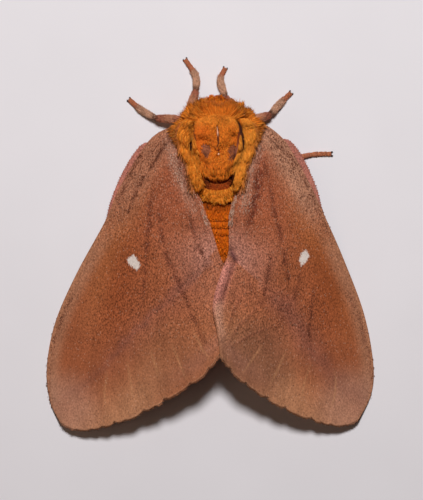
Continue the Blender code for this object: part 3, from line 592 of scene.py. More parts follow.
def hair_object(name, finish, paths, normals, width, tints, unwrap, root_shade=0.75, thick=0.6):
    """Many tapered hairs, each a closed three-sided spine, as one mesh with a small patch of UV each."""
    count, rings = paths.shape[:2]
    ways = unit(paths[:, -1] - paths[:, 0])
    across = unit(np.cross(ways, normals))
    up = unit(np.cross(across, ways))
    width = np.broadcast_to(width, (count,))
    points = 3 * (rings - 1) + 1
    verts, shade, local = np.zeros((count, points, 3)), np.zeros((count, points, 1)), np.zeros((points, 2))
    for r in range(rings - 1):
        half = (0.5 * width * HAIR_TAPERS[rings][r])[:, None]
        for k, (a, b) in enumerate(((1.0, -0.35), (0.0, 1.0), (-1.0, -0.35))):
            verts[:, 3 * r + k] = paths[:, r] + across * half * a + up * half * b * thick
            shade[:, 3 * r + k, 0] = root_shade + (1 - root_shade) * min(1.0, 1.5 * r / (rings - 1))
            local[3 * r + k] = (k / 2 - 0.5, r / (rings - 1))
    verts[:, -1], shade[:, -1], local[-1] = paths[:, -1], 1.0, (0.0, 1.0)
    faces = [(0, 1, 2)]
    for r in range(rings - 2):
        for k in range(3):
            a, b = 3 * r + k, 3 * r + (k + 1) % 3
            faces += [(a, a + 3, b + 3), (a, b + 3, b)]
    last = 3 * (rings - 2)
    faces += [(last + k, points - 1, last + (k + 1) % 3) for k in range(3)]
    faces = np.array(faces)[:, ::-1]
    every = (faces[None] + (np.arange(count) * points)[:, None, None]).reshape(-1, 3)
    # The tints carry painted shade: each hair is darker towards its root, deep in the coat.
    tint = (tints[:, None, :] * shade).reshape(-1, 3)
    obj = new_mesh(name, verts.reshape(-1, 3), every, MATERIALS[finish], tint)
    patch = unwrap[:, None, :] + UV_PATCH * local[None]
    layer = obj.data.uv_layers.new(name="OFBake")
    layer.data.foreach_set("uv", patch.reshape(-1, 2)[every.ravel()].ravel())
    mount(obj, HAIR_SLOTS[finish])


def pick(*choices):
    """A chooser of tints: colours of 0 to 255, each with a weight."""
    colours = np.array([srgb(*colour) for colour, weight in choices])
    weights = np.array([weight for colour, weight in choices], float)

    def draw(count, vary=0.13):
        chosen = rng.choice(len(colours), count, p=weights / weights.sum())
        return colours[chosen] * rng.normal(1.0, vary, (count, 1)).clip(0.5, 1.6)
    return draw


# The body's own shape, as a base for hairs

def body_surface(sections, y, angle):
    """Points on the body's skin, and their outward normals."""
    def place(along, turn):
        height, half_width, half_height = table_at(sections, along)
        return columns(half_width * np.cos(turn), along, height + half_height * np.sin(turn))
    forward = place(y + 0.08, angle) - place(y - 0.08, angle)
    around = place(y, angle + 0.05) - place(y, angle - 0.05)
    return place(y, angle), unit(np.cross(forward, around))


def body_roots(sections, first, last, low, high, count):
    """Random places spread evenly over a stretch of the body, between two angles."""
    y, angle = np.zeros(0), np.zeros(0)
    widest = max(row[2] + row[3] for row in sections)
    while len(y) < count:
        trial_y, trial_angle = rng.uniform(last, first, count), np.radians(rng.uniform(low, high, count))
        height, half_width, half_height = table_at(sections, trial_y)
        keep = rng.uniform(0, 1, count) < (half_width + half_height) / widest
        y, angle = np.concatenate([y, trial_y[keep]]), np.concatenate([angle, trial_angle[keep]])
    return y[:count], angle[:count]


def body_paths(sections, y, angle, lie, length, rise, hug, rings):
    """The middle lines of hairs that leave the body and bend along it."""
    root, normal = body_surface(sections, y, angle)
    lie = along_surface(lie, normal)
    length = np.broadcast_to(length, y.shape)[:, None]
    rise = np.broadcast_to(rise, y.shape)
    paths = [root - normal * 0.06]
    point = root
    for r in range(1, rings):
        share = r / (rings - 1)
        point = point + lie * length / (rings - 1)
        stand = rise * math.sin(math.pi * (0.12 + 0.62 * share))
        height, half_width, half_height = table_at(sections, point[:, 1])
        radial = np.sqrt((point[:, 0] / half_width) ** 2 + ((point[:, 2] - height) / half_height) ** 2)
        wanted = 1 + stand / (0.5 * (half_width + half_height))
        factor = 1 + (wanted / np.maximum(radial, 0.2) - 1) * np.where(radial < wanted, 1.0, hug)
        point = columns(point[:, 0] * factor, point[:, 1], height + (point[:, 2] - height) * factor)
        paths.append(point)
    return np.stack(paths, 1), normal


def body_unwrap(y, angle, first, last):
    """Places on the UV map: round the body and along it."""
    return columns((angle / math.tau) % 1.0 * 0.98 + 0.01, (y - last) / (first - last) * 0.98 + 0.01)


# Bare places on the back of the thorax, where the skin shows: two patches by middle, half axes and lean, a
# ridge with two beads behind it, a slit on either side, a notch, and the dark crescent before the last tuft
PATCHES = ((*px((206, 151.2))[0], 0.48, 0.64, -0.2), (*px((232.4, 152.6))[0], 0.5, 0.84, 0.05))
RIDGE = px((217.2, 129), (217.8, 137), (218.2, 145))
RIDGE_DOTS = (px((218.4, 150.5))[0], px((218.5, 154.2))[0])
RIGHT_SLIT = px((235.5, 117), (239.0, 125), (242.0, 135), (243.5, 146), (241.5, 155), (236.0, 163),
                (227.0, 171))
LEFT_SLIT = px((193.5, 124), (191.5, 136), (190.3, 149), (196.0, 156), (203.0, 161), (208.0, 164))
NOTCH = px((191.0, 147.5))[0]
SMILE = px((204.0, 179.5), (208.0, 184.5), (214.0, 187.3), (220.0, 187.8), (227.0, 185.5), (231.0, 181.5),
           (234.5, 176.0))


def bareness(x, y):
    """How bare the back is at plan points, from 0 to 1."""
    places = [soft(line_distance(x, y, RIDGE)[0], 0.12, 0.06)]
    for cx, cy, half_x, half_y, lean in PATCHES:
        reach = np.hypot((x - cx - lean * (y - cy)) / half_x, (y - cy) / half_y) + 0.07 * waves(x, y, 0.7, 51)
        places.append(soft(reach, 1.5, 0.4))
    for cx, cy in RIDGE_DOTS:
        places.append(soft(np.hypot(x - cx, y - cy), 0.16, 0.1))
    distance, along, turn = line_distance(x, y, RIGHT_SLIT)
    places.append(soft(distance, 0.11, 0.05) * soft(along, 0.6, 0.5))
    places.append(soft(np.hypot((x - NOTCH[0]) / 0.16, (y - NOTCH[1]) / 0.26), 1.1, 0.8))
    distance, along, turn = line_distance(x, y, SMILE)
    half = 0.34 * np.sin(math.pi * np.clip(along, 0.03, 0.97)) ** 0.6
    places.append(soft(distance, half + 0.05, half - 0.06))
    return np.maximum.reduce(places)


def patch_shade(x, y, patch):
    """How far plan points lie from the darkest spot of a bare patch, in millimetres."""
    cx, cy, half_x, half_y, lean = patch
    return np.hypot(x - cx - 0.35 * half_x * np.sign(cx), y - cy + 0.6 * half_y)


def near_slits(x, y):
    """1 on the two slits beside the shield, and falling away from them."""
    right, left = line_distance(x, y, RIGHT_SLIT), line_distance(x, y, LEFT_SLIT)
    return np.maximum(bell(right[0], 0.16), 0.75 * bell(left[0], 0.2))


def outside_scutum(x, y):
    """True for plan points of the back outside the two slits that bound its middle shield."""
    back = (-2.6, -1.9, -0.7, 0.4, 1.2, 2.1, 2.9)
    right = np.interp(-y, back, (1.4, 1.8, 2.35, 2.6, 2.5, 1.9, 0.9))
    left = np.interp(-y, back, (-1.8, -2.2, -2.4, -2.5, -2.1, -1.0, -0.6))
    return (x > right) | (x < left) | (y < -2.5)


def free_of_bare(paths):
    """True for hairs that cross no bare place, with a ragged edge to it."""
    limit = rng.uniform(0.3, 0.9, (len(paths), 1))
    return (bareness(paths[..., 0], paths[..., 1]) < limit).all(1)


def slit_shade(paths, tints):
    """Darkens the hairs beside the slits with painted shade."""
    return tints * (1 - 0.6 * near_slits(paths[:, 1, 0], paths[:, 1, 1])[:, None])


def thorax_unwrap(y, angle):
    return body_unwrap(y, angle, 3.3, -5.35)


# Hair colours of the back, each with a weight, and of its paler rim
SHIELD_TINTS = pick(((228, 124, 36), 5), ((216, 112, 30), 3), ((238, 144, 50), 2), ((196, 92, 26), 1))
TEGULA_TINTS = pick(((234, 138, 44), 5), ((222, 124, 36), 3), ((244, 160, 62), 2), ((202, 102, 26), 1))


def shield_coat():
    """The middle shield of the back: short flat hair, paler in front and redder on the left."""
    y, angle = body_roots(THORAX, 3.1, -2.9, 18, 162, HAIRS["shield"])
    root, normal = body_surface(THORAX, y, angle)
    fray = rng.normal(0, 0.22, (2, len(y))) * soft(y, 0.9, 1.8)
    middle = ~outside_scutum(root[:, 0] + fray[0], y + fray[1])
    y, angle, x = y[middle], angle[middle], root[middle, 0]
    lie = columns(0.12 * x + 0.45 * waves(x, y, 1.0, 1), -1.0, 0.0)
    calm = np.zeros(len(y))
    for cx, cy, half_x, half_y, lean in PATCHES:
        reach = np.hypot((x - cx) / half_x, (y - cy - 0.3) / half_y)
        calm = np.maximum(calm, soft(reach, 2.6, 1.2))
    rise = (0.27 + 0.07 * waves(x, y, 1.6, 2)) * rng.uniform(0.7, 1.2, len(y)) * (1 - 0.6 * calm)
    length = rng.uniform(0.4, 0.75, len(y)) * (1 - 0.35 * calm)
    paths, normal = body_paths(THORAX, y, angle, lie, length, rise, 0.9, 3)
    paths, normal, y, angle = kept(free_of_bare(paths), paths, normal, y, angle)
    clump(paths, 0.3, 0.2)
    x = paths[:, 0, 0]
    tints = blend(SHIELD_TINTS(len(y)), (240, 156, 60), 0.45 * soft(y, 1.0, 2.4))
    tints = blend(tints, (238, 114, 34), 0.55 * soft(-x, 0.1, 1.4) * soft(y, 2.2, 0.8))
    tints = blend(tints, (196, 88, 28), 0.25 * soft(waves(x, y, 2.2, 3), 0.0, 1.0))
    hair_object("coat_shield", "coat", paths, normal, widths(len(y), 0.05, 0.08), slit_shade(paths, tints),
                thorax_unwrap(y, angle), 0.85)


def bare_coat():
    """Sparse short hair on the bare places, and a fuller row in the dark crescent."""
    y, angle = body_roots(THORAX, 1.5, -4.7, 55, 125, HAIRS["bare"])
    root, normal = body_surface(THORAX, y, angle)
    bare = bareness(root[:, 0], y)
    keep = bare > np.where(y < -3.2, 0.4, rng.uniform(0.2, 1.3, len(y)))
    y, angle, x = kept(keep, y, angle, root[:, 0])
    crescent = y < -3.2
    lie = columns(0.5 * rng.normal(size=len(y)), -1.0, 0.0)
    length = np.where(crescent, 0.36, 0.26) * rng.uniform(0.6, 1.5, len(y))
    rise = np.where(crescent, 0.16, 0.07) * rng.uniform(0.6, 1.4, len(y))
    paths, normal = body_paths(THORAX, y, angle, lie, length, rise, 0.9, 3)
    tints = np.where(crescent[:, None], srgb(160, 68, 24), srgb(154, 90, 64))
    tints = tints * rng.uniform(0.6, 1.5, (len(y), 1))
    tints = blend(tints, (214, 118, 44), 0.7 * (rng.uniform(0, 1, len(y)) < np.where(crescent, 0.1, 0.2)))
    # Painted shade towards the two ends of the crescent.
    tints = blend(tints, (74, 32, 16), 0.65 * crescent * soft(np.abs(x - 0.2), 0.6, 1.2))
    tints = blend(tints, (190, 116, 84), 0.4 * (x < 0) * ~crescent)
    for patch in PATCHES:
        tints = blend(tints, (82, 40, 30), 0.6 * soft(patch_shade(x, y, patch), 0.6, 0.15))
    hair_object("coat_bare", "coat", paths, normal, 0.055, tints, thorax_unwrap(y, angle), 0.8)


def mantle_coat():
    """Longer hair round the shield."""
    y, angle = body_roots(THORAX, 3.2, -5.0, 20, 160, HAIRS["mantle"])
    x = body_surface(THORAX, y, angle)[0][:, 0]
    gap = line_distance(x, y, SMILE)
    keep = (outside_scutum(x, y) | (y > 2.6)) & ~((gap[2] > 0) & (gap[0] < 0.45) & (y > -4.6))
    y, angle, x = kept(keep, y, angle, x)
    front = soft(y, 1.4, 2.6)
    fan = 0.15 * x + np.sign(x) * 0.4 * front
    fan = np.where(y < -1.0, -0.22 * np.sign(x) * soft(np.abs(x), 0.9, 1.6), fan)
    lie = columns(fan + 0.4 * waves(x, y, 1.1, 4), -1 + 0.6 * front, 0.0)
    rise = (0.34 + 0.12 * waves(x, y, 1.2, 7)) * rng.uniform(0.75, 1.2, len(y))
    length = rng.uniform(0.65, 1.2, len(y)) * (1 - 0.4 * front)
    paths, normal = body_paths(THORAX, y, angle, lie, length, rise, 0.75 - 0.2 * front, 4)
    paths, normal, y, angle = kept(free_of_bare(paths), paths, normal, y, angle)
    clump(paths, 0.55, 0.3)
    width, tints = widths(len(y)), slit_shade(paths, SHIELD_TINTS(len(y), 0.18))
    hair_object("coat_thorax", "coat", paths, normal, width, tints, thorax_unwrap(y, angle), 0.75)


# The front edge of the last tuft: x and y
BAND_FRONT = ((-1.45, -4.3), (-1.1, -4.45), (-0.5, -4.66), (0.2, -4.74), (0.9, -4.66), (1.4, -4.35),
              (1.8, -4.1))


def band_coat():
    """The last tuft: a fluffy band over the root of the abdomen."""
    count = HAIRS["band"]
    x, depth = rng.uniform(-1.45, 1.8, count), rng.uniform(0, 1, count)
    start = np.interp(x, *zip(*BAND_FRONT)) + 0.05 * rng.normal(size=count)
    root = columns(x, start - 0.85 * depth, 7.0 - 0.22 * (x - 0.15) ** 2 - 0.2 * depth)
    length = rng.uniform(0.45, 0.8, count) * (1 + 0.2 * waves(x, 0 * x, 0.45, 15))
    lie = columns(0.12 * (x - 0.15) + 0.4 * waves(x, root[:, 1], 0.5, 16), -1.0, -0.1)
    lie[:, 0] += 0.25 * rng.normal(size=count)
    normal = np.tile(UP, (count, 1))
    rise = rng.uniform(0.1, 0.32, count) + 0.08 * waves(x, root[:, 1], 0.6, 17)
    paths = arcs(root, lie, length, normal, rise, 4, 0.2)
    clump(paths, 0.3, 0.2)
    width, tints = widths(count), TEGULA_TINTS(count, 0.14) * (0.95, 0.96, 0.9)
    unwrap = columns(0.01 + 0.3 * (x + 1.5), 0.01 + 0.95 * depth)
    hair_object("coat_band", "coat", paths, normal, width, tints, unwrap, 0.85)


def breast_coat():
    """Breast and flanks."""
    draw = pick(((196, 104, 32), 4), ((170, 84, 24), 3), ((210, 124, 46), 2))
    y, angle = body_roots(THORAX, 3.2, -5.2, 158, 382, HAIRS["breast"])
    root, normal = body_surface(THORAX, y, angle)
    lie = columns(0.35 * np.cos(angle) + 0.3 * waves(y, root[:, 2], 1.8, 6),
                  -1 + 0.8 * soft(y, 1.8, 3.0), 0.2 - 0.5 * (np.sin(angle) < 0))
    paths, normal = body_paths(THORAX, y, angle, lie, rng.uniform(1.0, 1.5, len(y)), 0.3, 0.6, 4)
    clump(paths, 0.65, 0.5)
    hair_object("coat_breast", "coat", paths, normal, widths(len(y), 0.08, 0.12), draw(len(y)),
                thorax_unwrap(y, angle), 0.5)


# How far the collar reaches from its middle, by the angle from straight ahead, in degrees and left below 0
COLLAR_MIDDLE = (0.1, 0.95)
COLLAR = ((-100, 3.6), (-85, 4.4), (-74, 4.5), (-65, 4.1), (-58, 3.8), (-46, 3.8), (-37, 3.7), (-24, 3.4),
          (-15, 2.85), (-8, 2.5), (0, 2.4), (8, 2.5), (16, 2.9), (26, 3.4), (36, 3.5), (44, 3.6), (56, 3.85),
          (66, 4.15), (76, 4.4), (86, 4.3), (100, 3.6))


def collar_coat():
    """The ruff round the front of the back: curly wool that leans outwards, and leaves the head free."""
    count = HAIRS["collar"]
    off = rng.uniform(-100, 100, count)
    reach = np.interp(off, *zip(*COLLAR)) * (1 + 0.02 * waves(off / 10, 0 * off, 2.2, 18))
    start = np.clip(reach - rng.uniform(0.4, 2.0, count), 1.4, 3.0 + 0.3 * soft(np.abs(off), 50, 70))
    turn = np.radians(90 - off)
    way = columns(np.cos(turn), np.sin(turn))
    ring = COLLAR_MIDDLE + start[:, None] * way * (1.0, 0.85)
    height, half_width, half_height = table_at(THORAX, ring[:, 1])
    share = np.clip(1 - (ring[:, 0] / half_width) ** 2, 0.05, 1)
    root = np.column_stack([ring, height + half_height * np.sqrt(share)])
    end = reach * (1 - 0.2 * rng.uniform(0, 1, count) ** 1.3)
    end = np.minimum(end, start + rng.uniform(0.5, 1.2, count))
    fall = 0.5 * rng.uniform(0, 1, count)
    tip = np.column_stack([COLLAR_MIDDLE + end[:, None] * way, root[:, 2] - 0.4 - fall])
    tip[:, 1] -= 0.6 * soft(np.abs(off), 60, 100) * (end - start)
    curl = columns(waves(root[:, 0], root[:, 1], 0.7, 19), waves(root[:, 0], root[:, 1], 0.7, 20))
    inside = soft(reach - end, 0.0, 0.5)[:, None]
    tip[:, :2] += (0.15 + 0.35 * inside) * (curl + 0.5 * rng.normal(size=(count, 2)))
    normal = unit(np.column_stack([0.3 * way, np.ones(count)]))
    rise = rng.uniform(0.16, 0.38, count) * (1 + 0.35 * waves(root[:, 0], root[:, 1], 0.9, 21))
    paths = arcs(root, tip - root, np.ones(count), normal, rise)
    unwrap = columns(0.05 + 0.14 * turn, 0.01 + 0.3 * start)
    batches = [(paths, normal, unwrap)]
    count = HAIRS["neck front"]
    y, angle = 3.3 - 1.3 * rng.uniform(0, 1, count) ** 2, np.radians(rng.uniform(-80, 260, count))
    root, normal = body_surface(THORAX, y, angle)
    sway = 0.5 * root[:, 0] + 0.4 * waves(root[:, 0], root[:, 2], 0.8, 22)
    lie = along_surface(columns(sway, 0.5, -0.5), normal)
    paths = arcs(root, lie, rng.uniform(0.4, 0.7, count), normal, rng.uniform(0.2, 0.4, count))
    batches.append((paths, normal, columns(0.65 + 0.06 * angle, 0.01 + 0.7 * (y - 2.0))))
    paths, normal, unwrap = joined(batches)
    paths, normal, unwrap = kept(free_of_bare(paths), paths, normal, unwrap)
    clump(paths, 0.3, 0.24)
    x, y = paths[:, 0, 0], paths[:, 0, 1]
    tints = TEGULA_TINTS(len(x), 0.14) * (1 - 0.2 * soft(waves(x, y, 1.3, 29), 0.1, 1.0))[:, None]
    tints = blend(tints, (228, 110, 24), 0.5 * soft(np.abs(x - 0.1), 1.5, 0.7))
    hair_object("coat_collar", "coat", paths, normal, widths(len(x)), tints, unwrap, 0.85)


def tegula_coat(side, hand):
    """A shoulder flap: long hair that hangs over the root of the wing."""
    count = HAIRS["tegula"]
    frames = tegula_frames(60)
    row = rng.uniform(0, 0.98, count)
    turn = np.radians(rng.uniform(-70, 150, count))
    index = (row * (len(frames[0]) - 1)).astype(int)
    centre, outward, up, ahead = (values[index] for values in frames)
    root = centre + outward * np.cos(turn)[:, None] + up * np.sin(turn)[:, None]
    normal = unit(unit(outward) * np.cos(turn)[:, None] * 0.6 + unit(up) * np.sin(turn)[:, None])
    fan = soft(1 - row, 0.35, 1.0)
    lie = ahead + columns(0.5 * fan - 0.1, 0.3 * fan, 0.0)
    lie[:, 0] += 0.32 * waves(root[:, 0], root[:, 1], 1.0, 8 + side)
    lie = along_surface(lie, normal)
    over = (rng.uniform(0, 1, count) < 0.12) & (turn < 0.6)
    length = (0.8 + 0.3 * soft(row, 0.1, 0.5) + 0.35 * soft(row, 0.75, 1.0)) * rng.uniform(0.6, 1.15, count)
    rise = 0.33 * rng.uniform(0.6, 1.25, count) * (1 + 0.3 * waves(root[:, 0], root[:, 1], 1.4, 28))
    lie[:, 0] += 0.35 * over
    paths = arcs(root, lie, length * (1 + 0.4 * over), normal, rise, 4, 0.16)
    mirror(side, paths, normal)
    paths, normal, row, turn, over = kept(free_of_bare(paths), paths, normal, row, turn, over)
    clump(paths, 0.42, 0.25)
    tints = blend(TEGULA_TINTS(len(paths), 0.16), (222, 142, 84), 0.6 * over)
    tints = blend(tints, (250, 164, 62), 0.4 * (side > 0))
    tints = blend(tints, (176, 92, 30), 0.45 * soft(waves(paths[:, 0, 0], paths[:, 0, 1], 1.5, 30), 0.1, 1.0))
    unwrap = columns(0.01 + 0.98 * (turn + 1.3) / 4.0, 0.01 + 0.98 * row)
    tints = slit_shade(paths, tints)
    hair_object(f"coat_tegula_{hand}", "coat", paths, normal, widths(len(paths)), tints, unwrap, 0.75)


def tegula_frames(count):
    """Along the right tegula: the middle of each ring, its two half axes, and the way it runs."""
    path = smooth_path(TEGULA, count)
    ahead = unit(np.gradient(path[:, :3], axis=0))
    lean = np.array((0.8, 0.0, -0.6))
    outward = unit(lean - ahead * (ahead @ lean)[:, None])
    up = np.cross(ahead, outward)
    return path[:, :3], outward * path[:, 3:4], up * path[:, 4:5], ahead


def head_point(angle, height):
    """Points on the head's skin and their outward normals, by turn and by share of the way up."""
    level = np.sqrt(1 - height * height)
    across, ahead = level * np.cos(angle), level * np.sin(angle)
    ball = columns(across, ahead, height)
    return HEAD_CENTRE + HEAD_RADII * ball, unit(ball / HEAD_RADII)


def eye_centre(side):
    return HEAD_CENTRE + np.array((side * EYE_PLACE[0], *EYE_PLACE[1:]))


def tube_coat(path, first, last, count, sink):
    """Random places on a tube: row, turn, where the path leads, the outward way and the root."""
    index, turn = rng.integers(first, last, count), rng.uniform(0, math.tau, count)
    ahead = unit(np.gradient(path[:, :3], axis=0))[index]
    normal = ring_normals(ahead, turn)
    return index, turn, ahead, normal, path[index, :3] + normal * path[index, 3:4] * sink


def head_coat():
    """The curly tuft between the eyes, and shorter hair down the face and palps."""
    draw = pick(((230, 118, 24), 5), ((216, 104, 18), 4), ((238, 140, 36), 2), ((184, 74, 12), 2))
    count = HAIRS["head"]
    angle, height = rng.uniform(0, math.tau, count), rng.uniform(-0.98, 0.99, count)
    root, normal = head_point(angle, height)
    clear = np.ones(count, bool)
    for side, hand in SIDES:
        clear &= np.linalg.norm(root - eye_centre(side), axis=1) > EYE_RADIUS + 0.06
    root, normal, angle, height = kept(clear, root, normal, angle, height)
    top, front = soft(height, 0.0, 0.6), soft(np.sin(angle), -0.3, 0.5)
    x, z = root[:, 0], root[:, 1] + root[:, 2]
    lie = columns(0.5 * np.cos(angle) * top + 0.7 * waves(x, z, 0.8, 12),
                  0.55 * top * front + 0.2 + 0.5 * top * waves(x, z, 0.8, 13), -0.9 + 0.95 * top)
    lie = along_surface(lie, normal)
    lie = lie + 0.35 * rng.normal(size=lie.shape) * top[:, None]
    length = (0.46 + 0.14 * top) * rng.uniform(0.5, 1.2, len(x))
    rise = (0.2 + 0.24 * top) * rng.uniform(0.5, 1.2, len(x)) * (1 + 0.4 * waves(x, z, 0.7, 34))
    paths = arcs(root, lie, length, normal, rise, 3)
    clump(paths, 0.42, 0.24)
    unwrap = columns(0.01 + 0.6 * angle / math.tau, 0.01 + 0.98 * (height + 1) / 2)
    batches = [(paths, normal, unwrap)]
    count = HAIRS["neck"]
    index, turn, ahead, normal, root = tube_coat(smooth_path(NECK, 30), 1, 29, count, 0.95)
    rough = 0.3 * waves(root[:, 0], root[:, 1], 0.6, 35)
    lie = columns(0.5 * normal[:, 0], 0.7 + rough, 0.25)
    paths = arcs(root, lie, rng.uniform(0.35, 0.6, count), normal, rng.uniform(0.15, 0.3, count), 3)
    batches.append((paths, normal, columns(0.82 + 0.17 * turn / math.tau, 0.5 + 0.015 * index)))
    count = HAIRS["palp"]
    for side, hand in SIDES:
        index, turn, ahead, normal, root = tube_coat(smooth_path(PALP, 40), 2, 39, count, 0.9)
        paths = arcs(root, ahead, rng.uniform(0.2, 0.34, count), normal, 0.1, 3)
        mirror(side, paths, normal)
        paths[..., 0] += HEAD_CENTRE[0]
        unwrap = columns(0.66 + 0.15 * (side > 0) + 0.14 * turn / math.tau, 0.01 + 0.02 * index)
        batches.append((paths, normal, unwrap))
    paths, normal, unwrap = joined(batches)
    tints = draw(len(paths), 0.15)
    spots = soft(waves(paths[:, 0, 0], paths[:, 0, 1] + paths[:, 0, 2], 0.7, 14), 0.1, 0.8)
    tints = blend(tints, (150, 58, 16), 0.75 * spots * soft(np.abs(paths[:, 0, 0] - 0.1), 1.1, 0.6))
    hair_object("coat_head", "coat", paths, normal, widths(len(paths)), tints, unwrap, 0.75)


def ring_normals(ahead, turn):
    """Directions square to a path, at random turns round it."""
    across = unit(np.cross(ahead, UP))
    return across * np.cos(turn)[:, None] + np.cross(across, ahead) * np.sin(turn)[:, None]


def abdomen_coat():
    """Short flat hair, cut off at each joint of the abdomen."""
    draw = pick(((226, 110, 18), 5), ((218, 102, 16), 4), ((234, 124, 26), 2))
    y, angle = body_roots(ABDOMEN, -5.0, -18.05, -180, 180, HAIRS["abdomen"])
    root, normal = body_surface(ABDOMEN, y, angle)
    nearest = np.full(len(y), 9.0)
    for joint in ABDOMEN_JOINTS:
        nearest = np.where(y > joint, np.minimum(nearest, y - joint), nearest)
    flank = soft(np.abs(np.sin(angle)), 0.8, 0.2)
    length = np.minimum(rng.uniform(0.4, 0.62, len(y)), np.maximum(nearest * 1.02, 0.1))
    length = length * (1 + 0.5 * flank)
    lie = columns(0.1 * waves(root[:, 0], y, 1.8, 14), -1.0, 0.0)
    paths, normal = body_paths(ABDOMEN, y, angle, lie, length, 0.025 + 0.1 * flank, 0.9, 3)
    paths[:, :, 2] = np.maximum(paths[:, :, 2], 0.05)
    clump(paths, 0.15, 0.25)
    rear = soft(-y, 11.0, 11.6)[:, None]
    # Painted shade at the front of the abdomen, under the last tuft.
    tints = blend(draw(len(y), 0.07), (120, 50, 16), 0.6 * soft(y, -6.9, -6.1))
    flecks = soft(waves(root[:, 0], y, 0.5, 33), 0.1, 0.5) * soft(y, -6.5, -6.2)
    tints = blend(tints, (72, 36, 22), 0.8 * flecks * soft(np.abs(root[:, 0] - 0.2), 0.4, 1.0))
    tints = tints * (1 - rear) + tints * (srgb(168, 100, 66) / srgb(226, 112, 24)) * rear
    hair_object("coat_abdomen", "abdomen_coat", paths, normal, widths(len(y), 0.06, 0.09), tints,
                body_unwrap(y, angle, -4.3, -18.15), 0.92)


# Body, head, antennae and eyes

def rings_to_mesh(rings):
    """Points and faces of a closed body through rings of points."""
    rings = np.array(rings)
    count, sides = rings.shape[:2]
    verts = np.concatenate([rings.reshape(-1, 3), rings[:1].mean(1), rings[-1:].mean(1)])
    faces = []
    for r in range(count - 1):
        for k in range(sides):
            here, following = r * sides + k, r * sides + (k + 1) % sides
            faces.append((here, following, following + sides, here + sides))
    for k in range(sides):
        faces.append(((k + 1) % sides, k, count * sides))
        faces.append(((count - 1) * sides + k, (count - 1) * sides + (k + 1) % sides, count * sides + 1))
    return verts, faces


def tube_rings(path, sides, floor=None):
    """Rings of points round a path of (x, y, z, radius)."""
    path = np.array(path, float)
    ways = unit(np.gradient(path[:, :3], axis=0))
    across = np.cross(ways[0], UP)
    rings = []
    for place, way in zip(path, ways):
        across = across - way * (across @ way)
        across = across / np.linalg.norm(across)
        up = np.cross(way, across)
        turns = circle(sides)
        ring = place[:3] + place[3] * (np.cos(turns)[:, None] * across + np.sin(turns)[:, None] * up)
        if floor is not None:
            ring[:, 2] = np.maximum(ring[:, 2], floor)
        rings.append(ring)
    return rings


def union(obj, others):
    """Joins closed objects to one by a Boolean union, and removes them."""
    group = bpy.data.collections.new("union")
    bpy.context.scene.collection.children.link(group)
    for other in others:
        bpy.context.scene.collection.objects.unlink(other)
        group.objects.link(other)
    modifier = obj.modifiers.new("union", "BOOLEAN")
    modifier.operation = "UNION"
    modifier.operand_type = "COLLECTION"
    modifier.collection = group
    modifier.solver = "MANIFOLD"
    graph = bpy.context.evaluated_depsgraph_get()
    mesh = bpy.data.meshes.new_from_object(obj.evaluated_get(graph))
    obj.modifiers.clear()
    obj.data = mesh
    for other in others:
        bpy.data.objects.remove(other)
    bpy.data.collections.remove(group)


def painted(tint, layers):
    """Lays the colours of the layers over tints, one after the other."""
    for colour, mask in layers:
        tint = blend(tint, colour, mask)
    return tint


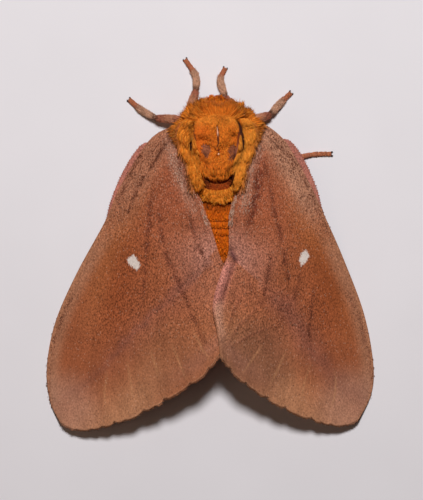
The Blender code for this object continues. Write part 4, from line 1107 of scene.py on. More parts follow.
def make_skin():
    """One closed skin over the thorax, abdomen, head, neck, keel, palps and shoulder flaps."""
    parts = []

    def add(name, rings):
        parts.append(new_mesh(name, *rings_to_mesh(rings), MATERIALS["skin"]))
        face_outwards(parts[-1])

    sides = SKIN_SIDES["thorax"]
    ys = np.concatenate([[3.3, 3.2, 3.05, 2.9, 2.65], np.linspace(2.4, -5.0, 90), [-5.1, -5.2, -5.35]])
    rings = [body_surface(THORAX, np.full(sides, y), circle(sides))[0] for y in ys]
    for ring in rings:
        ring[:, 2] += 0.05 * waves(ring[:, 0], ring[:, 1], 1.5, 21) * soft(ring[:, 2], 6.0, 7.5)
    add("body_skin", rings)
    sides = SKIN_SIDES["abdomen"]
    rows = [-4.3, -4.7]
    for start, end in zip((-4.9,) + ABDOMEN_JOINTS, ABDOMEN_JOINTS + (-18.15,)):
        rows += list(np.linspace(start - 0.03, end + 0.03, 9))
    rings = []
    for y in rows:
        ring = body_surface(ABDOMEN, np.full(sides, y), circle(sides))[0]
        start = min([joint for joint in (-4.3,) + ABDOMEN_JOINTS if joint >= y], default=-4.3)
        pinch = ABDOMEN_STEP * math.exp(-abs(start - y) / 0.35) if y < -5 else 0.0
        narrower = 1 - pinch * (1 / ABDOMEN_RADIUS)
        height = float(table_at(ABDOMEN, y)[0])
        ring[:, 0] *= narrower
        ring[:, 2] = np.maximum(height + (ring[:, 2] - height) * narrower, 0.04)
        rings.append(ring)
    add("abdomen_part", rings)
    sides = SKIN_SIDES["head"]
    heights = np.cos(np.linspace(0.08, math.pi - 0.08, 28))
    add("head_part", [head_point(circle(sides), np.full(sides, height))[0] for height in heights])
    add("neck_part", tube_rings(smooth_path(NECK, 6), SKIN_SIDES["neck"]))
    for line, half in ((RIDGE, 0.075), *(((spot, np.array(spot) - (0, 0.14)), 0.1) for spot in RIDGE_DOTS)):
        path = smooth_path(line, 24)
        height, half_width, half_height = table_at(THORAX, path[:, 1])
        bulge = np.sin(math.pi * np.linspace(0.08, 0.92, 24)) ** 0.6
        path = np.column_stack([path, height + half_height + 0.12 + 0.06 * bulge, half * bulge])
        add("keel_part", tube_rings(path, SKIN_SIDES["keel"]))
    for side, hand in SIDES:
        path = smooth_path(PALP, 12)
        path[:, 0] = side * path[:, 0] + HEAD_CENTRE[0]
        add("palp_part", tube_rings(path, SKIN_SIDES["palp"]))
        centre, outward, up, ahead = (values[:, None] for values in tegula_frames(24))
        turns = circle(SKIN_SIDES["tegula"])[:, None]
        rings = centre + outward * np.cos(turns) + up * np.sin(turns)
        mirror(side, rings)
        add("tegula_part", rings)
    skin = parts[0]
    union(skin, parts[1:])
    verts = np.zeros(len(skin.data.vertices) * 3)
    skin.data.vertices.foreach_get("co", verts)
    paint(skin.data, "tint", skin_colours(*(verts.reshape(-1, 3) / MM - BODY_TO_FRAME).T))
    skin.data.shade_smooth()
    skin.data.materials.clear()
    skin.data.materials.append(MATERIALS["skin"])
    mount(skin, "coat", "thorax", "abdomen", "head", "tegula_left", "tegula_right")


def skin_colours(x, y, z):
    """The skin's tints: dark under the coats, orange on the abdomen, and the marks of the back."""
    back = soft(y, -5.0, -5.4)
    upper = soft(z, 6.2, 7.0)
    layers = [((196, 90, 20), back), ((136, 64, 36), back * soft(-y, 10.9, 11.5))]
    for joint in ABDOMEN_JOINTS:
        layers.append(((112, 46, 14), 0.8 * bell(y - joint + 0.03, 0.06) * back))
    for patch in PATCHES:
        cx, cy, half_x, half_y, lean = patch
        reach = np.hypot((x - cx) / half_x, (y - cy) / half_y)
        layers.append(((138, 80, 60), soft(reach, 1.7, 0.9) * upper))
        layers.append(((74, 32, 24), soft(patch_shade(x, y, patch), 0.6, 0.1) * upper * 0.9))
    ridge, share, turn = line_distance(x, y, RIDGE)
    layers.append(((112, 52, 28), soft(ridge, 0.3, 0.16) * upper))
    # A painted highlight along the front part of the ridge.
    layers.append(((226, 168, 134), soft(ridge, 0.16, 0.1) * upper * soft(share, 0.6, 0.3)))
    # The first bead is dark red-brown; the second carries a pale painted glint.
    for (cx, cy), colour in zip(RIDGE_DOTS, ((112, 30, 12), (236, 188, 158))):
        layers.append((colour, soft(np.hypot(x - cx, y - cy + 0.07), 0.22, 0.16) * upper))
    near, share, turn = line_distance(x, y, SMILE)
    layers.append(((116, 48, 18), soft(near, 0.6, 0.4) * upper * 0.9))
    # Painted shade in the crescent's two ends, its deepest corners.
    layers.append(((70, 28, 12), soft(near, 0.6, 0.4) * upper * soft(np.abs(share - 0.5), 0.22, 0.42)))
    # Painted shade down the two slits beside the shield.
    for slit in (RIGHT_SLIT, LEFT_SLIT):
        layers.append(((50, 24, 14), soft(line_distance(x, y, slit)[0], 0.25, 0.12) * upper))
    layers.append(((130, 62, 24), soft(y, 2.4, 2.8) * soft(z, 4.6, 4.2)))
    return painted(np.tile(srgb(112, 50, 20), (len(x), 1)), layers)


# How far the middle of a facet stands out, against the eye's radius, and the rings of an antenna and the
# steps that each of them has
FACET_TOP = 1.014
ANTENNA_RINGS, ANTENNA_STEPS = 44, 4


def make_eyes():
    """Eyes of many six-sided facets, each a low dome."""
    for side, hand in SIDES:
        bm = bmesh.new()
        bmesh.ops.create_icosphere(bm, subdivisions=5, radius=1.0)
        bm.faces.ensure_lookup_table()
        corners = [np.array(face.calc_center_median().normalized()) for face in bm.faces]
        verts, faces = list(corners), []
        for vert in bm.verts:
            out = np.array(vert.co.normalized())
            first = unit(np.cross(out, (0.3, 0.5, 0.81)))
            second = np.cross(out, first)
            ring = sorted((math.atan2(corners[face.index] @ second, corners[face.index] @ first), face.index)
                          for face in vert.link_faces)
            order = [index for turn, index in ring]
            top = len(verts)
            verts.append(out * FACET_TOP)
            faces += [(order[k], order[(k + 1) % len(order)], top) for k in range(len(order))]
        bm.free()
        verts = eye_centre(side) + EYE_RADIUS * np.array(verts)
        eye = new_mesh(f"eye_{hand}_facets", verts, faces, MATERIALS["eye"], smooth=False)
        mount(eye, "eye", f"eye_{hand}")


def make_antennae():
    """Thread-like antennae of many short rings."""
    sides = SKIN_SIDES["antenna"]
    for side, hand in SIDES:
        path = smooth_path(ANTENNA, ANTENNA_RINGS * ANTENNA_STEPS + 1)
        mirror(side, path)
        swell = 1 + 0.16 * np.sin(math.tau * np.arange(len(path)) / ANTENNA_STEPS + 0.6)
        path[:, 3] *= swell
        verts, faces = rings_to_mesh(tube_rings(path, sides))
        stripe = np.concatenate([np.repeat(swell, sides), [1, 1]])
        tint = srgb(150, 92, 56) * (0.72 + 0.28 * soft(stripe, 0.86, 1.1))[:, None]
        antenna = new_mesh(f"antenna_{hand}_thread", verts, faces, MATERIALS["antenna"], tint)
        face_outwards(antenna)
        mount(antenna, "antenna", f"antenna_{hand}")


# Legs

# Leg colours: pale, tan, middle, rust, dark and claw
LEG_TONES = ((200, 152, 124), (192, 130, 99), (179, 109, 84), (184, 111, 74), (76, 40, 28), (40, 24, 20))


def leg_parts(name):
    """A leg's pieces as (path, tint at each ring): hip, thigh, shin, five foot joints, pad and two claws."""
    body, trochanter, knee, ankle, bend, tip = (np.array(point) for point in LEGS[name])
    pale, tan, mid, rust, dark, claw = (srgb(*tone) for tone in LEG_TONES)
    pieces = []

    def bar(route, radii, count, tints):
        share = np.linspace(0, 1, count)
        radius = np.interp(share, np.linspace(0, 1, len(radii)), radii)
        stops = np.linspace(0, 1, len(tints))
        tones = [np.interp(share, stops, [tone[k] for tone in tints]) for k in range(3)]
        pieces.append((np.column_stack([smooth_path(route, count), radius]), np.stack(tones, -1)))

    bar((body, trochanter), (0.46, 0.44, 0.38), 10, (mid, mid, mid))
    bar((trochanter, knee), (0.3, 0.38, 0.4, 0.36, 0.28), 20, (mid, mid, mid, mid, mid, mid, dark))
    bar((knee, ankle), (0.26, 0.33, 0.37, 0.36, 0.31, 0.23), 28, (mid, mid, tan, tan, tan, mid, mid, dark))
    foot = smooth_path((ankle, bend, tip), 200)

    def stretch(start, end):
        return foot[np.linspace(start * 199, end * 199, 7).astype(int)]

    first = FOOT_START[name]
    if first > 0.2:
        bar(stretch(0, first), (0.21, 0.28, 0.31, 0.3, 0.24), 24, (dark, pale, pale, pale, pale, pale, mid))
    joints = first + (1 - first) * np.array((0.0, 0.42, 0.6, 0.75, 0.88, 1.0))
    for number, (start, end) in enumerate(zip(joints[:-1], joints[1:])):
        radius = 0.225 - 0.008 * number
        bar(stretch(start, end), (radius * 0.84, radius, radius, radius, radius * 0.9), 8,
            (dark if number == 0 and first < 0.75 and name.endswith("right") else rust, rust, mid, rust))
    ahead = unit(tip - bend)
    across = unit(np.cross(ahead, UP))
    bar((tip - ahead * 0.08, tip + ahead * 0.07), (0.17, 0.15, 0.07), 5, (dark, claw, claw))
    for turn in (-1, 1):
        route = [tip - ahead * 0.02 + across * turn * 0.12, tip + ahead * 0.13 + across * turn * 0.2,
                 tip + ahead * 0.2 + across * turn * 0.13 - (0, 0, 0.1)]
        bar(route, (0.08, 0.07, 0.05, 0.02), 8, (claw, claw, claw))
    return pieces


def make_legs():
    """Six jointed legs, each one piece, and one coat of short hair for all of them."""
    batches = []
    sides = SKIN_SIDES["leg"]
    for leg, name in enumerate(LEGS):
        verts, faces, tints = [], [], []
        done = 0
        pieces = leg_parts(name)
        for number, (path, colours) in enumerate(pieces):
            part, sheets = rings_to_mesh(tube_rings(path, sides, 0.0))
            verts.append(part)
            tint = np.concatenate([np.repeat(colours, sides, axis=0), colours[:1], colours[-1:]])
            tints.append(tint * (1 + 0.1 * waves(part[:, 0], part[:, 1] + part[:, 2], 0.6, number))[:, None])
            faces += [tuple(index + done for index in face) for face in sheets]
            done += len(part)
            if not 1 <= number < len(pieces) - 3:
                continue
            long = len(path) > 8
            hairs = HAIRS["leg" if long else "foot joint"]
            index = rng.uniform(0.03, 0.97, hairs) * (len(path) - 1)
            turn = rng.uniform(0, math.tau, hairs)
            low = index.astype(int)
            place = path[low] + (path[low + 1] - path[low]) * (index - low)[:, None]
            ahead = unit(np.gradient(path[:, :3], axis=0))[low]
            normal = ring_normals(ahead, turn)
            root = place[:, :3] + normal * place[:, 3:4] * 0.97
            lie = ahead + 0.12 * rng.normal(size=(hairs, 3))
            size = (0.34 if long else 0.14) * rng.uniform(0.7, 1.2, hairs)
            rise = size * (0.15 + 0.2 * rng.uniform(0, 1, hairs) ** 3)
            paths = arcs(root, lie, size, normal, rise, 3)
            paths[..., 2] = np.maximum(paths[..., 2], 0.03)
            tone = colours[low] * rng.uniform(0.85, 1.3, (hairs, 1))
            share = (number - 1 + index / len(path)) / 8.1
            unwrap = columns((leg + 0.05 + 0.9 * turn / math.tau) / 6, share)
            batches.append((paths, normal, tone, unwrap))
        verts, tints = np.concatenate(verts), np.concatenate(tints)
        limb = new_mesh(f"{name}_scaled", verts, faces, MATERIALS["leg"], tints)
        face_outwards(limb)
        mount(limb, "leg", name)
    paths, normal, tone, unwrap = joined(batches)
    hair_object("coat_legs", "leg_coat", paths, normal, widths(len(paths)), tone, unwrap, 0.9, 0.35)


# Wings

def roof(side, out, y):
    """How high the folded wings lie at plan points."""
    ridge, edge, width = table_at(ROOF, y)
    share = np.minimum(1.0, 1 - np.maximum(out, 0.0) / (width * ROOF_WIDTH[side]))
    return edge + (ridge - edge) * share * (1 + ROOF_ARCH * (1 - share))


def wing_plan(outline, t, w):
    """Plan points of a wing: t runs from root to outer margin, w from leading edge to inner margin."""
    lead, inner, outer = (smooth_path(outline[key], 240) for key in ("lead", "inner", "outer"))

    def on(curve, share):
        steps = np.linspace(0, 1, len(curve))
        return np.stack([np.interp(share, steps, curve[:, k]) for k in (0, 1)], -1)

    t, w = t[..., None], w[..., None]
    root = lead[0] + (inner[0] - lead[0]) * w
    ends = (1 - t) * root + t * ((1 - w) * lead[-1] + w * inner[-1])
    sides = (1 - w) * on(lead, t[..., 0]) + w * on(inner, t[..., 0])
    return sides + (1 - t) * root + t * on(outer, w[..., 0]) - ends


class Wing:
    """A grid of plan points on one wing, with its distances from the margins, in millimetres."""

    def __init__(self, side, outline, rows, cols, nicks=()):
        self.side = side
        t, w = np.meshgrid(np.linspace(0, 1, rows), np.linspace(0, 1, cols), indexing="ij")
        nick = np.zeros(w.shape)
        for place, depth, width in nicks:
            nick += depth * np.exp(-np.abs((w - place) / width) ** 1.2)
        plan = wing_plan(outline, t - nick * t**9, w)
        self.t, self.w, self.out, self.y = t, w, plan[..., 0], plan[..., 1]
        self.x = side * self.out
        self.chord = np.linalg.norm(plan[:, 0] - plan[:, -1], axis=-1)[:, None]
        self.lead, self.inner = w * self.chord, (1 - w) * self.chord
        steps = np.linalg.norm(np.diff(plan, axis=0), axis=-1)
        run = np.concatenate([np.zeros((1, cols)), np.cumsum(steps, axis=0)])
        self.rim = run[-1:] - run

    def near(self, line):
        return line_distance(self.x, self.y, line)

    def veins(self, table, height, half):
        """How far the veins of a table stand up."""
        total = np.zeros(self.t.shape)
        for place, start, end in table:
            reach = soft(self.t, start - 0.05, start + 0.02) if start else 1.0
            reach = reach * (1 - soft(self.t, end - 0.12, end + 0.02) if end < 1 else 1.0)
            total += height * reach * bell((self.w - place) * self.chord, half)
        return total

    def build(self, hand, kind, height, lift, over, below, tint, marks, under):
        """The wing as one closed sheet, thicker over its veins, kept for its hairs too."""
        top, bottom = height + over + lift, np.maximum(height - below + 0.8 * lift, 0.0)
        rows, cols = self.t.shape
        upper = columns(self.x, self.y, np.maximum(top, bottom + 0.08)).reshape(-1, 3)
        lower = columns(self.x, self.y, bottom).reshape(-1, 3)
        index = np.arange(rows * cols).reshape(rows, cols)
        corners = (index[:-1, :-1], index[:-1, 1:], index[1:, 1:], index[1:, :-1])
        sheet = np.stack([values.ravel() for values in corners], -1)
        total = rows * cols
        rim = np.concatenate([index[0, :-1], index[:-1, -1], index[-1, :0:-1], index[:0:-1, 0]])
        after = np.roll(rim, -1)
        walls = columns(rim, rim + total, after + total, after)
        faces = np.concatenate([sheet, sheet[:, ::-1] + total, walls])
        tints = np.concatenate([tint.reshape(-1, 3), under.reshape(-1, 3)])
        marks = marks.reshape(total, 4)
        marks = np.concatenate([marks, marks * (1, 1, 1, 0)])
        name = f"{kind}_{hand}"
        verts = np.concatenate([upper, lower])
        sheet = new_mesh(f"{name}_scaled", verts, faces, MATERIALS[kind], tints, marks=marks)
        face_outwards(sheet)
        mount(sheet, kind, name)
        tree = KDTree(total)
        for k, spot in enumerate(zip(self.x.flat, self.y.flat)):
            tree.insert((*spot, 0.0), k)
        tree.balance()
        WINGS[name] = (self, top, tint, tree)


# Wings that are built, by name: the grid, the height of its upper side, its tint, and a tree of its places
WINGS = {}


# The marks of the forewings, by side, each where the photograph has it: the grey band at the root, the white
# spot's corners, the middles of the orange, rust and speckled zones, the right wing's creases, and the dark
# line across
GREY_BANDS = {
    -1: px((168, 134), (173, 158), (183, 184), (195, 212)),
    1: px((260, 138), (254, 156), (247, 176), (244, 210)),
}
DISCAL_SPOTS = {
    -1: px((127, 259), (134, 254.3), (140.6, 264.5), (137, 270.2), (129, 264.5)),
    1: px((301.4, 252.7), (306, 250), (309.6, 255.7), (306, 261.8), (301.4, 266), (299.4, 260.8)),
}
ORANGE = {
    -1: px((146, 165), (126, 215), (104, 275), (90, 320)),
    1: px((288, 180), (312, 235), (332, 275), (350, 330)),
}
RUST = {-1: px((132, 225), (118, 290), (108, 342)), 1: px((312, 235), (330, 296), (332, 345))}
SPECKS = {
    -1: px((170, 132), (145, 162), (130, 190), (116, 226)),
    1: px((264, 132), (282, 153), (300, 180), (322, 226)),
}
FOLDS = (px((226, 345), (240, 325), (262, 303)), px((224, 340), (232, 315), (243, 290)),
         px((228, 348), (250, 335), (275, 325)), px((246, 268), (249, 283), (258, 300)))
PM_LINES = {
    -1: px((206, 262), (198, 273), (181, 286), (166, 303), (139.5, 326), (123, 344), (110, 361), (90, 379),
           (66, 397)),
    1: px((262, 285), (285, 306), (299.5, 326), (309.5, 346), (323, 364), (336, 379), (364, 399)),
}
# Dark streaks: the three boldest come first, and the first two lie in shallow valleys
STREAKS = {
    -1: (px((155, 180), (150, 205), (147, 246), (142, 304)),
         px((157, 200), (164, 251), (183, 293), (195, 322), (206, 345)),
         px((188, 212), (197, 242), (209, 269)),
         px((71.5, 296), (60, 320), (50, 352), (47.5, 385), (51, 410)),
         px((172, 136), (162, 150), (149, 171)), px((143.7, 149.5), (130, 175), (118.4, 201.3)),
         px((147, 172), (138, 188), (128, 212)), px((176, 158), (181, 172), (190, 200))),
    1: (px((266, 165), (272, 200), (283, 245), (290, 290), (281, 310)),
        px((262, 150), (257, 165), (255, 200), (249, 226)),
        px((271, 250), (267, 279), (262, 303)),
        px((348, 292), (360, 320), (370, 352), (373, 385), (368, 410)),
        px((268.5, 131), (284, 150), (299.3, 169), (328.8, 232)), px((300, 275), (293, 300), (275, 330)),
        px((314, 290), (310, 324), (308, 348))),
}
# The right forewing's groove and pocket by the abdomen: where painted shade darkens them, and where they are
# deep
GROOVE = px((236, 261), (232, 272), (227, 285), (222, 303))
GROOVE_BED = px((236, 262), (232, 272), (227, 287), (222, 302))
POCKET = px((230, 248), (234, 258), (238, 263))
POCKET_BED = px((231.5, 251), (237.5, 261.5))
# A dark vein at each root, and the red-brown patch beside the right wing's grey band
BASE_VEINS = {-1: px((171, 137), (162, 151), (149, 171)), 1: px((262, 132), (272, 141), (284, 153))}
BASE_PATCH = px((263, 160), (259, 180), (255, 202), (248, 228))
# Pale streaks near the outer margin, between the veins
PALE_STREAKS = {
    -1: (px((151, 350), (154, 362), (159, 376)), px((172, 344), (178, 358), (186, 378)),
         px((128, 362), (130, 380), (134, 398)), px((107, 372), (104, 392), (106, 410)),
         px((193, 330), (203, 350), (210, 360))),
    1: (px((262, 345), (252, 360), (243, 372)), px((285, 352), (278, 368), (270, 384)),
        px((310, 365), (304, 384), (302, 398)), px((335, 372), (336, 392), (332, 408))),
}


def forewing_colours(wing):
    """The painted zones of a forewing, and its densities of dark scales, pale scales, sand and white."""
    side, x, y = wing.side, wing.x, wing.y
    left = side < 0
    tint = np.tile(srgb(156, 88, 56), (*x.shape, 1))
    basal = soft(y, -12.0, -5.5)
    dark, pale = 0.05 + 0.13 * soft(y, -22.0, -17.0), np.full(x.shape, 0.06)
    coast, inner = soft(wing.lead, 1.7, 0.5), soft(wing.inner, 3.2, 0.6)
    distance, along, turn = wing.near(PM_LINES[side])
    beyond = distance * turn * -side + 0.2 * waves(x, y, 2.6, 31)
    ends, fading = soft(along, 0.0, 0.15), 1 - 0.5 * soft(along, 0.55, 0.9)
    outside = soft(beyond, 0.0, 5.0) * (0.6 + 0.4 * soft(wing.rim, 6.0, 1.5))
    outside = outside * ((1 - 0.7 * soft(x, -8.0, -3.0)) if left else soft(-y, 14.5, 19.0))
    apex = (px((60, 412)) if left else px((355, 408)))[0]
    # Painted shade over the lower inner part of each forewing, deeper on the right wing.
    low = (px((168, 358)) if left else px((255, 358)))[0]
    low = soft(np.hypot((x - low[0]) / 3.1, (y - low[1]) / 3.5), 1.5, 0.6)

    layers = [
        ((156, 86, 58) if left else (166, 92, 62), basal),
        ((172, 104, 62) if left else (172, 100, 54), 0.75 * along_line(x, y, ORANGE[side], 1.5)),
        ((141, 71, 38), 0.75 * along_line(x, y, RUST[side], 2.0)),
        ((150, 84, 50), 0.6 * soft(wing.inner, 5.0, 2.5) * soft(y, -20.0, -15.0) * (1 - basal)),
        ((176, 118, 90), 0.85 * soft(wing.lead, 3.0, 1.0) * soft(y, -10.5, -4.0)),
        ((190, 138, 110), 0.0 if left else 0.6 * soft(wing.lead, 2.0, 1.0) * soft(y, -9.5, -5.0)),
        ((176, 122, 106), 0.75 * inner * soft(y, -18.0, -14.0) * soft(-y, 6.0, 12.0)),
        ((178, 122, 106), 0.6 * soft(wing.inner, 6.5, 2.0) * soft(y, -18.5, -14.5) * soft(-y, 7.5, 11.5)),
        ((168, 116, 88), 0.8 * coast * soft(-y, 7.0, 11.0)),
        ((164, 94, 60), 0.7 * soft(beyond, 0.0, 0.8)),
        ((180, 124, 90), outside),
        ((184, 134, 110), 0.7 * soft(np.hypot(x - apex[0], y - apex[1]), 5.0, 1.5)),
        # painted shade over the lower inner part of the wing
        ((144, 90, 62) if left else (118, 72, 52), (0.45 if left else 0.7) * low),
        ((122, 78, 70), (0.34 if left else 0.4) * bell(beyond, 0.4 if left else 1.0) * ends * fading),
        ((138, 84, 68), 0.32 * bell(beyond - 0.4, 1.3) * ends * fading),
        ((160, 108, 92), 0.35 * bell(wing.rim - 1.6, 1.1) * soft(wing.w, 0.5, 0.9)),
    ]
    pale += 0.17 * soft(y, -12.0, -5.0)
    dark += 0.14 * basal
    for number, line in enumerate(STREAKS[side]):
        mask = along_line(x + 0.08 * waves(x, y, 1.3, 9), y, line, 0.24)
        mask = mask * soft(waves(x, y, 1.5, 70), -1.0, 0.3)
        layers.append(((96, 46, 36), (0.5 if number < 3 else 0.32) * mask))
        dark += (0.75 if number < 3 else 0.55) * mask
    specks = soft(waves(x, y, 0.4, 61), -0.2, 0.6) * along_line(x, y, SPECKS[side], 0.75)
    dark += 0.5 * specks
    layers.append(((66, 32, 24), 0.7 * along_line(x, y, BASE_VEINS[side], 0.07)))
    for line in PALE_STREAKS[side]:
        layers.append(((198, 142, 100), 0.45 * along_line(x + 0.05 * waves(x, y, 1.5, 19), y, line, 0.08)))
    band = along_line(x, y, GREY_BANDS[side], 0.55)
    layers.append(((182, 134, 112), 0.65 * band))
    pale += 0.28 * band
    # Painted shade in the gap at the wing's root, beside the shoulder flap.
    root_gap_shade = px((175, 136.5), (259, 134.5))[side > 0]
    layers += [
        ((176, 122, 90), 0.45 * soft(wing.lead, 0.4, 0.15) * soft(-y, 4.0, 8.0)),
        ((190, 138, 106), 0.4 * soft(wing.rim, 0.2, 0.05)),
        ((60, 28, 20), 0.85 * soft(np.hypot((x - root_gap_shade[0]) / 0.3, (y - root_gap_shade[1]) / 0.42), 1.2, 0.6)),
    ]
    if not left:
        margin, bulge_highlight = soft(wing.inner, 1.5, 0.6), bell(wing.inner - 0.7, 0.6)
        layers += [
            ((196, 126, 112), 0.9 * margin * soft(-y, 11.0, 12.2) * soft(-y, 17.5, 15.0)),
            # a painted highlight on the bulge by the inner margin
            ((206, 150, 124), 0.8 * bulge_highlight * soft(-y, 14.8, 16.0) * soft(-y, 19.6, 17.6)),
            # painted shade in the groove and in the pocket
            ((110, 56, 50), 0.45 * along_line(x, y, GROOVE, 0.13)),
            ((78, 40, 46), 0.8 * along_line(x, y, POCKET, 0.26)),
            ((100, 40, 28), 0.9 * along_line(x, y, BASE_PATCH, 0.45) * soft(waves(x, y, 0.9, 83), -0.7, 0.2)),
        ]
        dark += 0.4 * along_line(x, y, BASE_PATCH, 0.6)
        pale += 0.2 * along_line(x, y, BASE_PATCH, 0.7)
        # Painted shade along the creases.
        layers += [((108, 58, 46), 0.45 * along_line(x, y, fold, 0.09)) for fold in FOLDS]
    tint = painted(tint, layers)
    white = np.clip(0.5 + depth_inside(x, y, DISCAL_SPOTS[side]) / 0.5, 0, 1)
    smooth = soft(wing.lead, 4.5, 1.5) * soft(-y, 8.5, 11.0)
    dark -= 0.08 * smooth
    sand = 0.32 + 0.42 * soft(y, -22.0, -16.0) * (1 - 0.7 * smooth) - 0.2 * basal
    return tint, columns(np.clip(dark, 0, 0.85), np.clip(pale, 0, 0.6), sand, white)


def forewing_lift(wing, height):
    """How far a forewing stands above the roof: veins, pleats, waves, and the folds of its inner margin."""
    side, x, y = wing.side, wing.x, wing.y
    lift = wing.veins(FOREWING_VEINS, 0.055, 0.13)
    cell = wing.near([(x[CELL_ROW, k], y[CELL_ROW, k]) for k in CELL_COLUMNS])[0]
    lift += 0.04 * bell(cell, 0.13)
    pleat = np.cos(math.tau * (wing.w - 0.06) / 0.118)
    lift += 0.05 * pleat * soft(wing.t, 0.25, 0.8) * soft(wing.w, 0.05, 0.2)
    lift += 0.09 * waves(x, y, 6.5, 41 + side) * soft(height, 0.4, 2.0)
    lift -= 0.05 * soft(wing.lead, 0.5, 0.1)
    for line, depth, half in ((STREAKS[side][1], -0.07, 0.35), (STREAKS[side][0], -0.06, 0.3)):
        lift += depth * bell(wing.near(line)[0], half)
    if side > 0:
        span = soft(-y, 10.5, 12.0)
        lift += 0.3 * bell(wing.inner - 0.42, 0.36) * span
        lift += 0.1 * span * soft(wing.inner, 2.0, 0.6)
        lift += 0.25 * bell(wing.inner - 0.8, 0.6) * bell(y + 17.0, 1.6)
        lift -= 0.16 * bell(wing.near(GROOVE_BED)[0], 0.22)
        lift -= 0.34 * bell(wing.near(POCKET_BED)[0], 0.36)
        for fold in FOLDS:
            lift += 0.07 * along_line(x, y, fold, 0.18)
    else:
        lift -= 0.12 * soft(wing.inner, 0.8, 0.1) * soft(-y, 11.0, 12.5)
        lift += 0.1 * bell(wing.inner - 0.5, 0.4) * soft(y, -12.0, -9.0)
    return lift


def make_forewings():
    """Forewings, with a nicked outer margin."""
    for side, hand in SIDES:
        border = np.random.default_rng(61 + side)
        places = border.uniform(0.08, 0.96, FINE_NICKS)
        nicks = NICKS + tuple((place, border.uniform(-0.003, 0.004), 0.01) for place in places)
        wing = Wing(side, FOREWING[side], *FOREWING_GRID, nicks)
        height = np.maximum(roof(side, wing.out, wing.y), 0.1)
        tint, marks = forewing_colours(wing)
        under, lift = tint * 0.55 + srgb(182, 122, 104) * 0.45, forewing_lift(wing, height)
        wing.build(hand, "forewing", height, lift, WING_OVER, WING_UNDER, tint, marks, under)


def make_hindwings():
    """Hindwings, lower than the forewings and pink along their front edges."""
    for side, hand in SIDES:
        wing = Wing(side, HINDWING[side], *HINDWING_GRID)
        x, y = wing.x, wing.y
        drop = HINDWING_DROP - 0.55 * soft(-y, 13.0, 16.5) * soft(wing.out, 8.0, 4.0)
        drop = drop + 1.4 * soft(wing.inner, 1.9, 0.0) * soft(-y, 8.5, 11.0) * soft(y, -18.0, -15.5)
        height = roof(side, wing.out, y) - drop - (0.16 if side < 0 else 0.0) * soft(wing.out, 2.0, 0.6)
        height = np.maximum(height, 0.1)
        lift = wing.veins(HINDWING_VEINS, 0.05, 0.14)
        lift += 0.06 * np.cos(math.tau * wing.w / 0.15) * soft(wing.t, 0.25, 0.8)
        lift += 0.42 * soft(wing.lead, 2.6, 0.8)
        tint = np.tile(srgb(172, 108, 84), (*x.shape, 1))
        tint = blend(tint, (186, 116, 100), soft(wing.lead, 1.1, 0.3))
        tint = blend(tint, (190, 130, 100), soft(wing.inner, 7.0, 3.0) * 0.7)
        marks = np.zeros((*x.shape, 4))
        marks[..., :3] = 0.16, 0.26, 0.45
        wing.build(hand, "hindwing", height, lift, HINDWING_OVER, HINDWING_UNDER, tint, marks, tint)


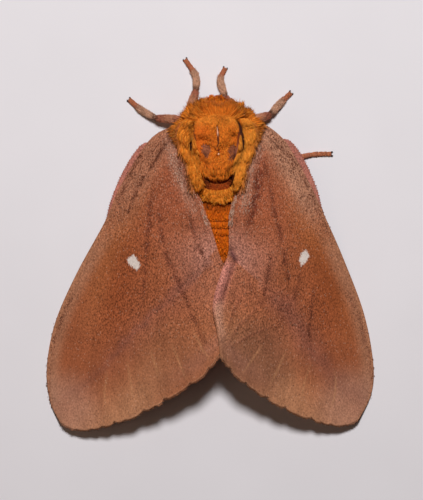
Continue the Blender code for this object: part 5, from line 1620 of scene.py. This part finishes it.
def wing_hairs():
    """Fringes along the margins, and soft hair where the wings meet the body."""
    batches = []

    def lay(name, root, lie, length, rise, tone, unwrap):
        """Hairs on the wing of that name, each wing with its own quarter of the UV map."""
        normal = np.tile(UP, (len(root), 1))
        paths = arcs(root, lie, length, normal, np.full(len(root), rise), 3)
        paths[..., 2] = np.maximum(paths[..., 2], 0.04)
        number = list(WINGS).index(name)
        batches.append((paths, normal, tone, unwrap * (0.22, 0.97) + (0.01 + 0.25 * number, 0.01)))

    def strew(name, rows, cols, count, lie, length, rise, spread, tone=None, shift=0.0):
        """Hairs at random places between two rows and two columns of a wing's grid, given as shares."""
        wing, top, tint, tree = WINGS[name]
        spot = columns(rng.uniform(*rows, count), rng.uniform(*cols, count))
        r, c = (spot * (np.array(top.shape) - 1)).astype(int).T
        root = columns(wing.x[r, c], wing.y[r, c], top[r, c] + shift)
        root[:, :2] += rng.normal(0, 0.03, (count, 2))
        way = lie(r, c) if callable(lie) else np.broadcast_to(lie, (count, 3))
        way = way + rng.normal(0, spread, (count, 3)) * (1, 1, 0.3)
        colour = (tint[r, c] if tone is None else tone(count)) * rng.uniform(0.85, 1.2, (count, 1))
        lay(name, root, way, length * rng.uniform(0.75, 1.2, count), rise, colour, spot)

    def line_hairs(name, line, count, tone, spread, long, clear=-9.0):
        """Fine short hairs strewn along a line on a wing, and lying along it, with gaps where clear says."""
        wing, top, tint, tree = WINGS[name]
        path = smooth_path(line, 80)
        at = rng.integers(1, 78, count)
        plan = path[at] + rng.normal(0, spread, (count, 2))
        found = [tree.find((*spot, 0.0)) for spot in plan]
        on_wing = np.array([distance < 0.1 for place, index, distance in found])
        keep = (waves(plan[:, 0], plan[:, 1], 0.7, 63) > clear) & on_wing
        root = np.column_stack([plan, [top.flat[index] for place, index, distance in found]])[keep]
        at, plan = at[keep], plan[keep]
        lie = unit(path[at + 1] - path[at - 1]) + rng.normal(0, 0.14, plan.shape)
        lie, length = np.column_stack([lie, np.zeros(len(at))]), long * rng.uniform(0.6, 1.4, len(at))
        colours = tone(len(at))
        lay(name, root, lie, length, 0.025, colours, columns(at / 80, rng.uniform(0, 1, len(at))))

    rust = pick(((204, 128, 88), 4), ((186, 108, 68), 3), ((216, 156, 118), 2))
    umber = pick(((124, 70, 50), 4), ((98, 52, 38), 2), ((142, 86, 62), 3))
    grey = pick(((200, 158, 136), 4), ((180, 132, 108), 3), ((218, 182, 162), 2))
    gold = pick(((236, 146, 60), 4), ((222, 124, 48), 3), ((246, 170, 84), 1))
    for side, hand in SIDES:
        fore, hind = f"forewing_{hand}", f"hindwing_{hand}"
        wing = WINGS[fore][0]
        edge = columns(wing.x[-1], wing.y[-1])
        square = unit(columns(np.gradient(edge[:, 1]), -np.gradient(edge[:, 0])))
        square = np.where(square[:, 1:] > 0, -square, square)

        def outwards(r, c):
            return np.column_stack([square[c], np.full(len(c), -0.15)])

        strew(fore, (0.999, 1), (0.02, 0.99), 1600, outwards, 0.24, 0.0, 0.12, shift=-0.07)
        strew(hind, (0.999, 1), (0, 1), 450, (0.2 * side, -1.0, -0.2), 0.3, 0.0, 0.15, shift=-0.05)
        strew(hind, (0.2, 0.98), (0, 0.012), 900, (0.5 * side, -0.85, -0.1), 0.1, 0.0, 0.25, shift=-0.04)
        strew(fore, (0.1, 0.36), (0.95, 1), 450, (-0.2 * side, -1.0, 0.0), 0.45, 0.02, 0.12, grey)
        strew(fore, (0.0, 0.2), (0.84, 1), 1100, (-0.1 * side, -1.0, 0.0), 0.7, 0.07, 0.14, rust)
        strew(fore, (0.0, 0.045), (0.0, 0.5), 1500, (0.8 * side, -0.35, 0.0), 0.75, 0.18, 0.25, gold)
        line_hairs(fore, GREY_BANDS[side], 550, grey, 0.36, 0.3)
        line_hairs(fore, SPECKS[side], 330, umber, 0.5, 0.13)
        line_hairs(fore, GREY_BANDS[side], 90, umber, 0.4, 0.16, 0.0)
        for line in STREAKS[side]:
            line_hairs(fore, line, 90, umber, 0.08, 0.14, -0.5)
            line_hairs(fore, line, 150, umber, 0.25, 0.12, -0.4)
    paths, normal, colour, unwrap = joined(batches)
    width = widths(len(paths), 0.045, 0.075)
    hair_object("coat_wings", "wing_coat", paths, normal, width, colour, unwrap, 0.9, 0.4)


make_stage()
make_skin()
make_eyes()
make_antennae()
make_legs()
make_forewings()
make_hindwings()
wing_hairs()
shield_coat()
bare_coat()
mantle_coat()
band_coat()
breast_coat()
collar_coat()
for side, hand in SIDES:
    tegula_coat(side, hand)
head_coat()
abdomen_coat()
